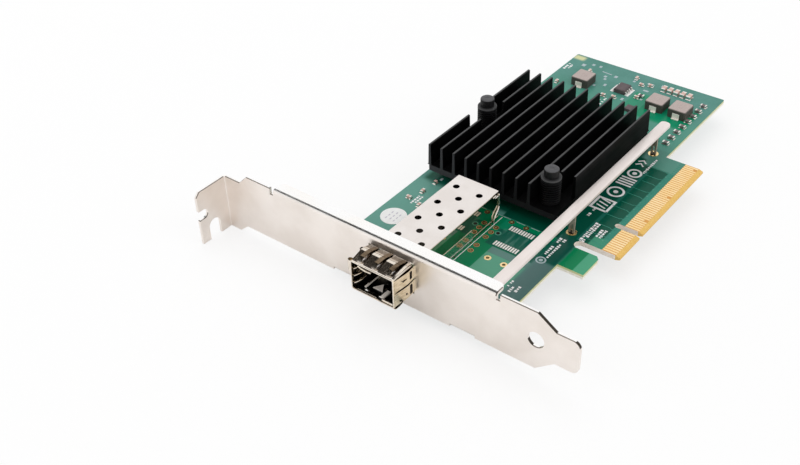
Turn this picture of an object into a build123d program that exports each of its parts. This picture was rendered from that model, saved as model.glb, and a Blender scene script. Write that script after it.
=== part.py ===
from build123d import *
import os
from math import atan2, cos, degrees, radians, sin, tan, tau

# Network interface card, lying flat with its component side up, in millimetres.
# X runs from the bracket's outer face to the rear of the board, Y from the card edge up to the screw tab.
# Z is zero on the component side, so the origin is where the card's three mating faces meet.

# Circuit board
board_thickness = 1.57
board_rear_x = 138.0
board_top_y = 68.0
board_lower_y = 12.3
board_corner_radius = 0.6
board_gap_to_bracket = 0.7
hole_clearance = 0.15
small_hole_sides = 6
round_hole_sides = 12

# Card edge: hook tab, slot, key notch and gold contacts
key_centre_x = 57.15
key_notch_width = 1.9
key_notch_depth = 8.25
contact_pitch = 1.0
contact_width = 0.7
contact_thickness = 0.05
contact_top_y = 5.6
contacts_before_key = 11
contacts_after_key = 38
key_to_contact = 1.5
tongue_side_margin = 0.65
short_contacts_top = (17, 31, 48)
short_contacts_bottom = (1,)
short_contact_cut = 1.2
bevel_length = 1.3
bevel_angle = 20.0
hook_slot_width = 3.3
hook_slot_top_y = 13.3
hook_width = 9.2
hook_bottom_y = 4.3
hook_chamfer = 1.0

# Bracket, folded from one sheet
sheet = 0.86
inner_bend = 0.35
bend_share = 0.99
bracket_top_z = 13.0
bracket_width = 18.42
bracket_length = 120.02
tab_face_y = 106.7
tab_reach = 11.43
tab_top_z = 9.8
tab_width = 17.9
tab_corner_chamfer = 1.4
screw_notch_width = 4.4
screw_notch_centre_x = -6.2
screw_notch_depth = 6.3
end_notch_width = 3.2
end_notch_centre_z = 1.8
end_notch_depth = 3.4
shoulder_slope = 3.2
upper_shoulder_y = 96.6
lower_shoulder_y = 98.6
tongue_width = 10.19
tongue_bottom_z = -0.9
tongue_length = 6.62
tongue_corner_radius = 2.0
tongue_slope = 5.5
round_hole_radius = 2.4
round_hole_setback = 0.1
round_hole_z = 4.1
flange_reach = 4.35
flange_setback = 12.0
flange_high_y = 86.2
flange_corner_radius = 1.5
relief_width = 1.2
relief_depth = 1.9

# Bracket ears under the board, their screws and nuts
ear_centres_y = (21.0, 61.0)
ear_width = 8.0
ear_end_x = 13.0
ear_screw_x = 9.3
jog_start_x = 2.0
jog_end_x = 5.4
screw_radius = 1.2
screw_head_radius = 2.3
screw_head_height = 1.5
screw_slot = 0.6
nut_radius = 2.9
nut_height = 1.7

# Port cage
port_centre_y = 44.0
cage_width = 14.2
cage_top_z = 9.7
cage_front_x = -8.1
cage_rear_x = 40.3
cage_sheet = 0.25
cage_corner_radius = 0.5
cage_floor_z = 0.3
cage_window_gap = 0.45
cage_floor_end_x = 28.0
vent_radius = 1.0
vent_pitch_x = 9.0
vent_pitch_y = 3.95
vent_last_x = 35.1
vent_rows = 4
cage_pin_xs = (9.6, 18.6, 26.6, 36.3)
cage_pin_width = 0.8
cage_pin_reach = 1.2
cage_pin_hole_radius = 0.55
latch_width = 8.0
latch_length = 11.0
latch_slit = 0.5
latch_setback = 1.6
latch_hole_side = 3.4

# Spring collar round the cage's mouth
collar_sheet = 0.15
collar_band = 1.3
finger_rise = 0.75
finger_start = 0.2
finger_crest_start = 3.0
finger_crest_end = 5.2
finger_end = 6.4
fingers_across = 3
fingers_up = 2
finger_gap = 0.7
finger_edge_margin = 0.5

# Connector at the back of the cage
connector_front_x = 30.6
connector_length = 7.0
connector_width = 11.6
connector_height = 5.8
connector_chamfer = 0.8
card_slot_width = 9.6
card_slot_height = 1.3
card_slot_depth = 5.0
card_slot_z = 2.9
pin_pitch = 0.8
pins_per_row = 10
pin_width = 0.35
pin_thickness = 0.15
pin_foot = 1.2

# Heat sink, its chip and pad
sink_front_x = 45.2
sink_length = 54.7
sink_centre_y = 43.2
sink_bottom_z = 3.0
sink_base = 2.0
sink_top_z = 12.2
fin_count = 11
fin_pitch = 4.355
fin_root = 1.1
fin_tip = 0.75
front_pin_x = 50.6
front_pin_y = 26.2
rear_pin_x = 71.8
rear_pin_y = 62.4
front_clearing = 4.9
rear_clearing = 6.1
pin_clearance = 0.1
chip_size = 25.0
chip_substrate = 1.2
chip_lid_size = 21.0
chip_lid_height = 1.5
pad_size = 18.0

# Push pins and springs
push_pin_radius = 1.45
push_head_radius = 2.5
push_head_top_z = 16.0
push_head_height = 2.6
push_flange_radius = 3.25
push_flange_height = 0.6
barb_radius = 1.9
barb_length = 2.6
barb_tip_radius = 1.0
barb_gap = 0.1
split_width = 0.6
spring_radius = 2.75
spring_wire_radius = 0.3
spring_turns = 6
spring_steps = 6
spring_wire_sides = 4

# Stiffener bar and its legs
bar_end_x = 103.0
bar_centre_y = 16.5
bar_width = 3.3
bar_top_z = 8.0
bar_thickness = 1.2
bar_end_radius = 1.2
leg_xs = (47.0, 95.9)
leg_width = 1.8
leg_thickness = 0.6
leg_slit = 0.6
leg_slit_top_z = 3.0
leg_reach = 1.1

# Second port, which is not fitted: its tinned pads and plated holes
spare_centre_y = 27.7
spare_pad_xs = (30.5, 38.55)
spare_pad_length = 2.0
spare_pad_width = 0.5
spare_pad_thickness = 0.06
spare_hole_radius = 0.42
spare_row_xs = (23.7, 26.6, 31.1, 33.7, 36.3)
spare_row_y = 34.9
spare_side_holes = ((41.05, 32.7), (41.05, 27.8))
spare_peg_holes = ((23.7, 29.2), (23.75, 23.95))
spare_peg_radius = 0.46

# Parts on the component side
power_group_x = 121.3
inductor_ys = (56.2, 28.4, 20.2)
inductor_length = 6.5
inductor_width = 6.2
inductor_height = 3.1
inductor_edge = 0.4
terminal_width = 2.4
terminal_thickness = 0.2
terminal_height = 1.9
terminal_foot = 0.8
regulator_offset_x = 3.0
regulator_y = 42.8
so_length = 5.0
so_width = 3.9
so_height = 1.5
so_standoff = 0.1
so_lead_pitch = 1.27
so_leads_per_side = 4
so_lead_width = 0.42
so_lead_thickness = 0.18
so_lead_reach = 1.05
so_edge = 0.25
supervisor_offset_x = -6.7
supervisor_y = 34.8
supervisor_size = 2.9
supervisor_height = 1.0
rear_capacitor_offset_x = 11.0
rear_capacitor_first_y = 31.4
rear_capacitor_pitch = 2.3
rear_capacitor_count = 5
rear_capacitor_size = (2.6, 1.4, 1.2)
small_capacitor_size = (1.6, 0.9, 0.8)
power_parts_along_x = ((-4.7, 63.9), (7.8, 58.2), (12.6, 42.5))
power_parts_along_y = ((-3.7, 46.4), (-2.9, 43.0), (9.5, 39.1), (10.7, 36.3), (1.3, 36.6))
port_parts_along_x = ((14.6, 62.4), (8.3, 59.1), (20.5, 62.0))
port_parts_along_y = ((9.8, 63.9),)
edge_row_first_x = 103.15
edge_row_pitch = 3.82
edge_row_count = 8
edge_row_y = 16.0
edge_part_size = (2.0, 1.25, 0.8)
label_x = 23.6
label_y = 62.0
label_radius = 3.95
label_thickness = 0.1
end_cap_share = 0.22

# Parts on the solder side
memory_x = 104.0
memory_y = 52.0
crystal_x = 84.0
crystal_y = 52.0
crystal_size = (5.0, 3.2, 0.9)
crystal_corner = 0.5
decoupling_columns = 3
decoupling_rows = 2
decoupling_pitch = 3.6
decoupling_size = (1.6, 0.8, 0.7)

# Tolerance when an edge is chosen by its place
place_tolerance = 0.01

# Places that follow from the sizes above
board_front_x = sheet + board_gap_to_bracket
board_bottom_z = -board_thickness
first_contact_x = key_centre_x - key_to_contact - (contacts_before_key - 1) * contact_pitch
last_contact_x = key_centre_x + key_to_contact + (contacts_after_key - 1) * contact_pitch
tongue_front_x = first_contact_x - tongue_side_margin
tongue_rear_x = last_contact_x + tongue_side_margin
hook_rear_x = tongue_front_x - hook_slot_width
bracket_bottom_z = bracket_top_z - bracket_width
tab_bottom_z = tab_top_z - tab_width
tongue_end_y = tab_face_y - bracket_length
tongue_shoulder_y = tongue_end_y + tongue_length
plate_end_y = tongue_shoulder_y + tongue_slope
round_hole_y = plate_end_y + round_hole_setback
flange_low_y = plate_end_y + flange_setback
tongue_top_z = tongue_bottom_z + tongue_width
outer_bend = inner_bend + sheet
ear_under_z = board_bottom_z - sheet
cage_low_y = port_centre_y - cage_width / 2
cage_high_y = port_centre_y + cage_width / 2
cage_pin_ys = (cage_low_y + cage_sheet / 2, cage_high_y - cage_sheet / 2)
sink_base_top_z = sink_bottom_z + sink_base
fin_first_y = sink_centre_y + fin_pitch * (fin_count - 1) / 2
sink_low_y = fin_first_y - fin_pitch * (fin_count - 1) - fin_root / 2
sink_high_y = fin_first_y + fin_root / 2
chip_x = (front_pin_x + rear_pin_x) / 2
chip_y = (front_pin_y + rear_pin_y) / 2
push_pins = ((front_pin_x, front_pin_y), (rear_pin_x, rear_pin_y))
screw_places = [(ear_screw_x, y) for y in ear_centres_y]
leg_places = [(x, bar_centre_y) for x in leg_xs]
spare_holes = [(x, spare_row_y) for x in spare_row_xs] + list(spare_side_holes)
pin_hole_radius = push_pin_radius + hole_clearance
bar_bottom_z = bar_top_z - bar_thickness
leg_hole_radius = leg_width / 2 + hole_clearance
connector_rear_x = connector_front_x + connector_length
inductor_x = power_group_x
regulator_x = power_group_x + regulator_offset_x
supervisor_x = power_group_x + supervisor_offset_x
rear_capacitor_x = power_group_x + rear_capacitor_offset_x
contacts = [
    (contacts_before_key - i, key_centre_x - key_to_contact - i * contact_pitch)
    for i in range(contacts_before_key)
] + [
    (contacts_before_key + 1 + i, key_centre_x + key_to_contact + i * contact_pitch)
    for i in range(contacts_after_key)
]

os.makedirs("parts", exist_ok=True)


def rectangle_between(x_low, x_high, y_low, y_high, mode=Mode.ADD):
    """Rectangle in the open sketch, given by its four edges."""
    with Locations(((x_low + x_high) / 2, (y_low + y_high) / 2)):
        Rectangle(x_high - x_low, y_high - y_low, mode=mode)


def box_between(x_low, x_high, y_low, y_high, z_low, z_high, mode=Mode.ADD):
    """Box in the open part, given by its six faces."""
    with Locations((x_low, y_low, z_low)):
        Box(
            x_high - x_low,
            y_high - y_low,
            z_high - z_low,
            align=(Align.MIN, Align.MIN, Align.MIN),
            mode=mode,
        )


def edges_near(direction, x=None, y=None, z=None):
    """Edges of the open part that run along an axis with their middle at the given place."""
    wanted = [(i, value) for i, value in enumerate((x, y, z)) if value is not None]
    return edges().filter_by(direction).filter_by(
        lambda edge: all(abs(tuple(edge.center())[i] - value) < place_tolerance for i, value in wanted)
    )


def save(part, name):
    """Label the finished piece and write its STEP file."""
    part.label = name
    export_step(part, f"parts/{name}.step")


# Circuit board: one laminate with its card edge tongue and hook tab
with BuildPart() as circuit_board:
    with BuildSketch(Plane.XY.offset(board_bottom_z)):
        rectangle_between(board_front_x, board_rear_x, board_lower_y, board_top_y)
        fillet(
            vertices().group_by(Axis.X)[-1],
            radius=board_corner_radius,
        )
        rectangle_between(hook_rear_x - hook_width, hook_rear_x, hook_bottom_y, board_lower_y)
        chamfer(
            vertices().group_by(Axis.Y)[0].sort_by(Axis.X)[-1],
            length=hook_chamfer,
        )
        rectangle_between(tongue_front_x, tongue_rear_x, 0, board_lower_y)
        with Locations((tongue_front_x - hook_slot_width / 2, hook_slot_top_y / 2)):
            SlotOverall(hook_slot_top_y, hook_slot_width, rotation=90, mode=Mode.SUBTRACT)
        rectangle_between(hook_rear_x, tongue_front_x, 0, hook_slot_top_y / 2, mode=Mode.SUBTRACT)
        with Locations((key_centre_x, 0)):
            SlotOverall(2 * key_notch_depth, key_notch_width, rotation=90, mode=Mode.SUBTRACT)
    extrude(amount=board_thickness)
    # The card edge is bevelled on both sides, so that it leads into its socket
    bevel_depth = bevel_length * tan(radians(bevel_angle))
    with BuildSketch(Plane.YZ.offset(tongue_front_x)):
        with BuildLine():
            Polyline((0, 0), (bevel_length, 0), (0, -bevel_depth), close=True)
        make_face()
        with BuildLine():
            Polyline(
                (0, board_bottom_z),
                (bevel_length, board_bottom_z),
                (0, board_bottom_z + bevel_depth),
                close=True,
            )
        make_face()
    extrude(amount=tongue_rear_x - tongue_front_x, mode=Mode.SUBTRACT)
    with BuildSketch(Plane.XY.offset(board_bottom_z)):
        with Locations(*push_pins):
            RegularPolygon(pin_hole_radius, round_hole_sides)
        with Locations(*leg_places):
            RegularPolygon(leg_hole_radius, round_hole_sides)
        with Locations(*screw_places):
            RegularPolygon(screw_radius + hole_clearance, round_hole_sides)
        with Locations(*[(x, y) for x in cage_pin_xs for y in cage_pin_ys]):
            RegularPolygon(cage_pin_hole_radius, small_hole_sides)
        with Locations(*spare_holes):
            RegularPolygon(spare_hole_radius, small_hole_sides)
        with Locations(*spare_peg_holes):
            RegularPolygon(spare_peg_radius, small_hole_sides)
    extrude(amount=board_thickness, mode=Mode.SUBTRACT)
save(circuit_board.part, "circuit_board")


# Gold contacts, one thin pad for each position on either side of the tongue
def contact_pads(short_numbers, z_low):
    """Pads in the open part, the short ones starting further from the edge."""
    short_start_y = bevel_length + short_contact_cut
    starts = {x: short_start_y if number in short_numbers else bevel_length for number, x in contacts}
    for start_y in sorted(set(starts.values())):
        with Locations(*[(x, start_y, z_low) for x in starts if starts[x] == start_y]):
            Box(
                contact_width,
                contact_top_y - start_y,
                contact_thickness,
                align=(Align.CENTER, Align.MIN, Align.MIN),
            )


with BuildPart() as edge_contacts_top:
    contact_pads(short_contacts_top, 0)
save(edge_contacts_top.part, "edge_contacts_top")

with BuildPart() as edge_contacts_bottom:
    contact_pads(short_contacts_bottom, board_bottom_z - contact_thickness)
save(edge_contacts_bottom.part, "edge_contacts_bottom")


# Mounting bracket: plate, screw tab, stiffening flange and two jogged ears from one sheet
with BuildPart() as mounting_bracket:
    with BuildSketch(Plane.YZ):
        with BuildLine():
            Polyline(
                (tab_face_y, tab_bottom_z),
                (tab_face_y, tab_top_z),
                (upper_shoulder_y + bracket_top_z - tab_top_z, tab_top_z),
                (upper_shoulder_y, bracket_top_z),
                (plate_end_y, bracket_top_z),
                (tongue_shoulder_y, tongue_top_z),
                (tongue_end_y, tongue_top_z),
                (tongue_end_y, tongue_bottom_z),
                (tongue_shoulder_y, tongue_bottom_z),
                (plate_end_y, bracket_bottom_z),
                (lower_shoulder_y, bracket_bottom_z),
                (lower_shoulder_y + shoulder_slope, tab_bottom_z),
                close=True,
            )
        make_face()
        fillet(vertices().group_by(Axis.X)[0], radius=tongue_corner_radius)
        for y_low in (flange_low_y - relief_width, flange_high_y):
            rectangle_between(
                y_low,
                y_low + relief_width,
                bracket_top_z - relief_depth,
                bracket_top_z,
                mode=Mode.SUBTRACT,
            )
        rectangle_between(
            flange_low_y,
            flange_high_y,
            bracket_top_z - outer_bend,
            bracket_top_z,
            mode=Mode.SUBTRACT,
        )
        for y in ear_centres_y:
            rectangle_between(
                y - ear_width / 2,
                y + ear_width / 2,
                bracket_bottom_z,
                bracket_bottom_z + outer_bend,
                mode=Mode.SUBTRACT,
            )
        rectangle_between(
            cage_low_y - cage_window_gap,
            cage_high_y + cage_window_gap,
            cage_floor_z - cage_window_gap,
            cage_top_z + cage_window_gap,
            mode=Mode.SUBTRACT,
        )
        with Locations((round_hole_y, round_hole_z)):
            Circle(round_hole_radius, mode=Mode.SUBTRACT)
    extrude(amount=sheet)
    # Screw tab, folded outwards, with its screw notch below and its end notch
    with BuildSketch(Plane.XZ.offset(-tab_face_y)):
        rectangle_between(-tab_reach, sheet, tab_bottom_z, tab_top_z)
        chamfer(
            vertices().group_by(Axis.X)[0].sort_by(Axis.Y)[-1],
            length=tab_corner_chamfer,
        )
        with Locations((screw_notch_centre_x, tab_bottom_z)):
            SlotOverall(2 * screw_notch_depth, screw_notch_width, rotation=90, mode=Mode.SUBTRACT)
        with Locations((-tab_reach, end_notch_centre_z)):
            SlotOverall(2 * end_notch_depth, end_notch_width, mode=Mode.SUBTRACT)
    extrude(amount=sheet)
    # Bend of the tab
    fillet(edges_near(Axis.Z, x=sheet, y=tab_face_y), radius=outer_bend)
    fillet(edges_near(Axis.Z, x=0, y=tab_face_y - sheet), radius=inner_bend)
    # Flange along the upper edge, folded towards the board
    with BuildSketch(Plane.XZ.offset(-flange_high_y)):
        with BuildLine():
            FilletPolyline(
                (0, bracket_top_z - outer_bend),
                (0, bracket_top_z),
                (flange_reach, bracket_top_z),
                radius=outer_bend * bend_share,
            )
            offset(amount=sheet, side=Side.RIGHT)
        make_face()
    extrude(amount=flange_high_y - flange_low_y)
    fillet(edges_near(Axis.Z, x=flange_reach), radius=flange_corner_radius)
    # Ears: down over the bend, along, up the jog and flat against the board's underside
    for y in ear_centres_y:
        with BuildSketch(Plane.XZ.offset(-y - ear_width / 2)):
            with BuildLine():
                FilletPolyline(
                    (0, bracket_bottom_z + outer_bend),
                    (0, bracket_bottom_z),
                    (jog_start_x, bracket_bottom_z),
                    radius=outer_bend * bend_share,
                )
                Polyline(
                    (jog_start_x, bracket_bottom_z),
                    (jog_end_x, ear_under_z),
                    (ear_end_x, ear_under_z),
                )
                offset(amount=sheet, side=Side.LEFT, kind=Kind.INTERSECTION)
            make_face()
        extrude(amount=ear_width)
        with BuildSketch(Plane.XY.offset(ear_under_z)):
            with Locations((ear_screw_x, y)):
                Circle(screw_radius + hole_clearance)
        extrude(amount=sheet, mode=Mode.SUBTRACT)
save(mounting_bracket.part, "mounting_bracket")

# Nuts on the board, and the screws that hold the bracket's ears from below
with BuildPart() as bracket_nuts:
    with BuildSketch():
        with Locations(*screw_places):
            RegularPolygon(nut_radius, 6)
            Circle(screw_radius, mode=Mode.SUBTRACT)
    extrude(amount=nut_height)
save(bracket_nuts.part, "bracket_nuts")

with BuildPart() as bracket_screws:
    with BuildSketch(Plane.XY.offset(ear_under_z)):
        with Locations(*screw_places):
            Circle(screw_head_radius)
    extrude(amount=-screw_head_height)
    with BuildSketch(Plane.XY.offset(ear_under_z - screw_head_height)):
        with Locations(*screw_places):
            Rectangle(screw_head_radius, screw_slot)
    extrude(amount=screw_head_height / 2, mode=Mode.SUBTRACT)
    with BuildSketch(Plane.XY.offset(ear_under_z)):
        with Locations(*screw_places):
            Circle(screw_radius)
    extrude(amount=sheet + board_thickness + nut_height / 2)
save(bracket_screws.part, "bracket_screws")

# Port cage: roof, walls and back folded from thin sheet, with vents and board pins
with BuildPart() as cage_shell:
    box_between(cage_front_x, cage_rear_x, cage_low_y, cage_high_y, 0, cage_top_z)
    fillet(edges_near(Axis.X, z=cage_top_z), radius=cage_corner_radius)
    box_between(
        cage_front_x,
        cage_rear_x - cage_sheet,
        cage_low_y + cage_sheet,
        cage_high_y - cage_sheet,
        0,
        cage_top_z - cage_sheet,
        mode=Mode.SUBTRACT,
    )
    # In front of the board the walls end level with the floor
    box_between(cage_front_x, board_front_x, cage_low_y, cage_high_y, 0, cage_floor_z, mode=Mode.SUBTRACT)
    with BuildSketch(Plane.XY.offset(cage_top_z)):
        for row in (-1, 0, 1):
            last_x = vent_last_x if row else vent_last_x - vent_pitch_x / 2
            count = vent_rows if row else vent_rows - 1
            vent_y = port_centre_y + row * vent_pitch_y
            with Locations(*[(last_x - i * vent_pitch_x, vent_y) for i in range(count)]):
                RegularPolygon(vent_radius, round_hole_sides)
    extrude(amount=-cage_sheet, mode=Mode.SUBTRACT)
    for x in cage_pin_xs:
        for y in (cage_low_y, cage_high_y - cage_sheet):
            box_between(
                x - cage_pin_width / 2,
                x + cage_pin_width / 2,
                y,
                y + cage_sheet,
                board_bottom_z - cage_pin_reach,
                0,
            )
save(cage_shell.part, "cage_shell")

# Cage floor, with a latch tongue that is free at the mouth and a triangular hole in it
latch_front_x = cage_front_x + latch_setback
with BuildPart() as cage_floor:
    box_between(
        cage_front_x,
        cage_floor_end_x,
        cage_low_y + cage_sheet,
        cage_high_y - cage_sheet,
        cage_floor_z,
        cage_floor_z + cage_sheet,
    )
    with BuildSketch(Plane.XY.offset(cage_floor_z)):
        rectangle_between(
            latch_front_x - latch_slit,
            latch_front_x,
            port_centre_y - latch_width / 2,
            port_centre_y + latch_width / 2,
        )
        for side_y in (port_centre_y - latch_width / 2, port_centre_y + latch_width / 2 - latch_slit):
            rectangle_between(latch_front_x, latch_front_x + latch_length, side_y, side_y + latch_slit)
        with Locations((latch_front_x + latch_hole_side, port_centre_y)):
            RegularPolygon(latch_hole_side / 2, 3)
    extrude(amount=cage_sheet, mode=Mode.SUBTRACT)
save(cage_floor.part, "cage_floor")


def collar_finger(origin, outward, width):
    """One spring finger on the open part, rising from the cage's wall and ending back on it."""
    along = Vector(1, 0, 0)
    plane = Plane(origin=origin, x_dir=along, z_dir=along.cross(Vector(*outward)))
    crest = finger_rise - collar_sheet
    with BuildSketch(plane) as profile:
        with BuildLine():
            Polyline(
                (collar_band - finger_start, 0),
                (collar_band + finger_start, 0),
                (finger_crest_start, crest),
                (finger_crest_end, crest),
                (finger_end, 0),
            )
            offset(amount=collar_sheet, side=Side.LEFT, kind=Kind.INTERSECTION)
        make_face()
    extrude(profile.sketch, amount=width / 2, both=True)


# Spring collar: a lipped ring round the mouth, with sprung fingers on its four sides
mouth_height = cage_top_z - cage_floor_z
mouth_centre_z = cage_floor_z + mouth_height / 2
with BuildPart() as cage_spring_collar:
    with BuildSketch(Plane.YZ.offset(cage_front_x - collar_sheet)):
        rectangle_between(
            cage_low_y - collar_sheet,
            cage_high_y + collar_sheet,
            cage_floor_z - collar_sheet,
            cage_top_z + collar_sheet,
        )
        fillet(vertices().group_by(Axis.Y)[-1], radius=cage_corner_radius + collar_sheet)
    extrude(amount=collar_sheet + collar_band)
    with BuildSketch(Plane.YZ.offset(cage_front_x)):
        rectangle_between(cage_low_y, cage_high_y, cage_floor_z, cage_top_z)
        fillet(vertices().group_by(Axis.Y)[-1], radius=cage_corner_radius)
    extrude(amount=collar_band, mode=Mode.SUBTRACT)
    box_between(
        cage_front_x - collar_sheet,
        cage_front_x,
        cage_low_y + cage_sheet,
        cage_high_y - cage_sheet,
        cage_floor_z + cage_sheet,
        cage_top_z - cage_sheet,
        mode=Mode.SUBTRACT,
    )
    for span, count, across in ((cage_width, fingers_across, True), (mouth_height, fingers_up, False)):
        finger_width = (span - 2 * finger_edge_margin - (count - 1) * finger_gap) / count
        for i in range(count):
            shift = (i - (count - 1) / 2) * (finger_width + finger_gap)
            for side in (-1, 1):
                if across:
                    edge_z = mouth_centre_z + side * mouth_height / 2
                    collar_finger((cage_front_x, port_centre_y + shift, edge_z), (0, 0, side), finger_width)
                else:
                    edge_y = port_centre_y + side * cage_width / 2
                    collar_finger((cage_front_x, edge_y, mouth_centre_z + shift), (0, side, 0), finger_width)
save(cage_spring_collar.part, "cage_spring_collar")

# Connector that the module plugs into, at the back of the cage
with BuildPart() as module_connector:
    box_between(
        connector_front_x,
        connector_rear_x,
        port_centre_y - connector_width / 2,
        port_centre_y + connector_width / 2,
        0,
        connector_height,
    )
    chamfer(edges_near(Axis.Y, x=connector_front_x, z=connector_height), length=connector_chamfer)
    box_between(
        connector_front_x,
        connector_front_x + card_slot_depth,
        port_centre_y - card_slot_width / 2,
        port_centre_y + card_slot_width / 2,
        card_slot_z,
        card_slot_z + card_slot_height,
        mode=Mode.SUBTRACT,
    )
save(module_connector.part, "module_connector")

row_offsets = [(i - (pins_per_row - 1) / 2) * pin_pitch for i in range(pins_per_row)]
with BuildPart() as connector_contacts:
    front_row = [(connector_front_x, port_centre_y + shift, 0) for shift in row_offsets]
    rear_row = [(connector_rear_x, port_centre_y + shift, 0) for shift in row_offsets]
    for row, side in ((front_row, Align.MAX), (rear_row, Align.MIN)):
        with Locations(*row):
            Box(pin_foot, pin_width, pin_thickness, align=(side, Align.CENTER, Align.MIN))
save(connector_contacts.part, "connector_contacts")

# Controller chip on its substrate, its lid and the pad up to the heat sink
with BuildPart() as controller_chip:
    with BuildSketch():
        with Locations((chip_x, chip_y)):
            Rectangle(chip_size, chip_size)
    extrude(amount=chip_substrate)
save(controller_chip.part, "controller_chip")

with BuildPart() as chip_lid:
    with BuildSketch(Plane.XY.offset(chip_substrate)):
        with Locations((chip_x, chip_y)):
            Rectangle(chip_lid_size, chip_lid_size)
    extrude(amount=chip_lid_height)
save(chip_lid.part, "chip_lid")

with BuildPart() as thermal_pad:
    with BuildSketch(Plane.XY.offset(chip_substrate + chip_lid_height)):
        with Locations((chip_x, chip_y)):
            Rectangle(pad_size, pad_size)
    extrude(amount=sink_bottom_z - chip_substrate - chip_lid_height)
save(thermal_pad.part, "thermal_pad")

# Heat sink: an extruded comb of tapered fins, cut away round the two push pins
fin_height = sink_top_z - sink_base_top_z
fin_angle = degrees(atan2(fin_height, (fin_root - fin_tip) / 2))
with BuildPart() as heat_sink:
    with BuildSketch(Plane.YZ.offset(sink_front_x)):
        rectangle_between(sink_low_y, sink_high_y, sink_bottom_z, sink_base_top_z)
        with Locations(*[(fin_first_y - i * fin_pitch, sink_base_top_z) for i in range(fin_count)]):
            Trapezoid(fin_root, fin_height, fin_angle, align=(Align.CENTER, Align.MIN))
    extrude(amount=sink_length)
    box_between(
        sink_front_x,
        front_pin_x + front_clearing,
        sink_low_y,
        front_pin_y + push_flange_radius + pin_clearance,
        sink_base_top_z,
        sink_top_z,
        mode=Mode.SUBTRACT,
    )
    box_between(
        rear_pin_x - rear_clearing,
        rear_pin_x + rear_clearing,
        rear_pin_y - push_flange_radius - pin_clearance,
        sink_high_y,
        sink_base_top_z,
        sink_top_z,
        mode=Mode.SUBTRACT,
    )
    with BuildSketch(Plane.XY.offset(sink_bottom_z)):
        with Locations(*push_pins):
            RegularPolygon(pin_hole_radius, round_hole_sides)
    extrude(amount=sink_base, mode=Mode.SUBTRACT)
save(heat_sink.part, "heat_sink")

# Push pins: head, spring flange, shaft through sink and board, and a split barb below
push_flange_top_z = push_head_top_z - push_head_height
push_flange_low_z = push_flange_top_z - push_flange_height
barb_top_z = board_bottom_z - barb_gap
with BuildPart() as heat_sink_pins:
    with Locations(*[(x, y, push_flange_top_z) for x, y in push_pins]):
        Cylinder(push_head_radius, push_head_height, align=(Align.CENTER, Align.CENTER, Align.MIN))
    with Locations(*[(x, y, push_flange_top_z) for x, y in push_pins]):
        Cylinder(push_flange_radius, push_flange_height, align=(Align.CENTER, Align.CENTER, Align.MAX))
    with Locations(*[(x, y, barb_top_z) for x, y in push_pins]):
        Cylinder(
            push_pin_radius,
            push_flange_low_z - barb_top_z,
            align=(Align.CENTER, Align.CENTER, Align.MIN),
        )
        Cone(
            barb_tip_radius,
            barb_radius,
            barb_length,
            align=(Align.CENTER, Align.CENTER, Align.MAX),
        )
    with Locations(*[(x, y, barb_top_z - barb_length) for x, y in push_pins]):
        Box(
            2 * barb_radius,
            split_width,
            barb_length + board_thickness,
            align=(Align.CENTER, Align.CENTER, Align.MIN),
            mode=Mode.SUBTRACT,
        )
save(heat_sink_pins.part, "heat_sink_pins")

# Coil springs between the sink's base and the push pins' flanges, each turn in straight steps
spring_rise = push_flange_low_z - sink_base_top_z - 2 * spring_wire_radius
with BuildPart() as heat_sink_springs:
    for x, y in push_pins:
        with BuildLine() as coil:
            Polyline(*[
                (
                    x + spring_radius * cos(tau * i / spring_steps),
                    y + spring_radius * sin(tau * i / spring_steps),
                    sink_base_top_z + spring_wire_radius + spring_rise * i / (spring_steps * spring_turns),
                )
                for i in range(spring_steps * spring_turns + 1)
            ])
        with BuildSketch(Plane(origin=coil.line @ 0, z_dir=coil.line % 0)):
            RegularPolygon(spring_wire_radius, spring_wire_sides)
        sweep(path=coil.line, transition=Transition.RIGHT)
save(heat_sink_springs.part, "heat_sink_springs")

# Stiffener bar, butted to the bracket and carried on two split legs soldered into the board
with BuildPart() as stiffener_bar:
    box_between(
        sheet,
        bar_end_x,
        bar_centre_y - bar_width / 2,
        bar_centre_y + bar_width / 2,
        bar_bottom_z,
        bar_top_z,
    )
    fillet(edges_near(Axis.Z, x=bar_end_x), radius=bar_end_radius)
save(stiffener_bar.part, "stiffener_bar")

leg_low_z = board_bottom_z - leg_reach
with BuildPart() as bar_legs:
    with Locations(*[(x, bar_centre_y, leg_low_z) for x in leg_xs]):
        Box(
            leg_thickness,
            leg_width,
            bar_bottom_z - leg_low_z,
            align=(Align.CENTER, Align.CENTER, Align.MIN),
        )
        Box(
            leg_thickness,
            leg_slit,
            leg_slit_top_z - leg_low_z,
            align=(Align.CENTER, Align.CENTER, Align.MIN),
            mode=Mode.SUBTRACT,
        )
save(bar_legs.part, "bar_legs")

# Tinned pads of the second port
with BuildPart() as spare_port_pads:
    with Locations(*[(x, spare_centre_y + shift, 0) for x in spare_pad_xs for shift in row_offsets]):
        Box(
            spare_pad_length,
            spare_pad_width,
            spare_pad_thickness,
            align=(Align.CENTER, Align.CENTER, Align.MIN),
        )
save(spare_port_pads.part, "spare_port_pads")

with BuildPart() as round_label:
    with BuildSketch():
        with Locations((label_x, label_y)):
            Circle(label_radius)
    extrude(amount=label_thickness)
save(round_label.part, "round_label")

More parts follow.
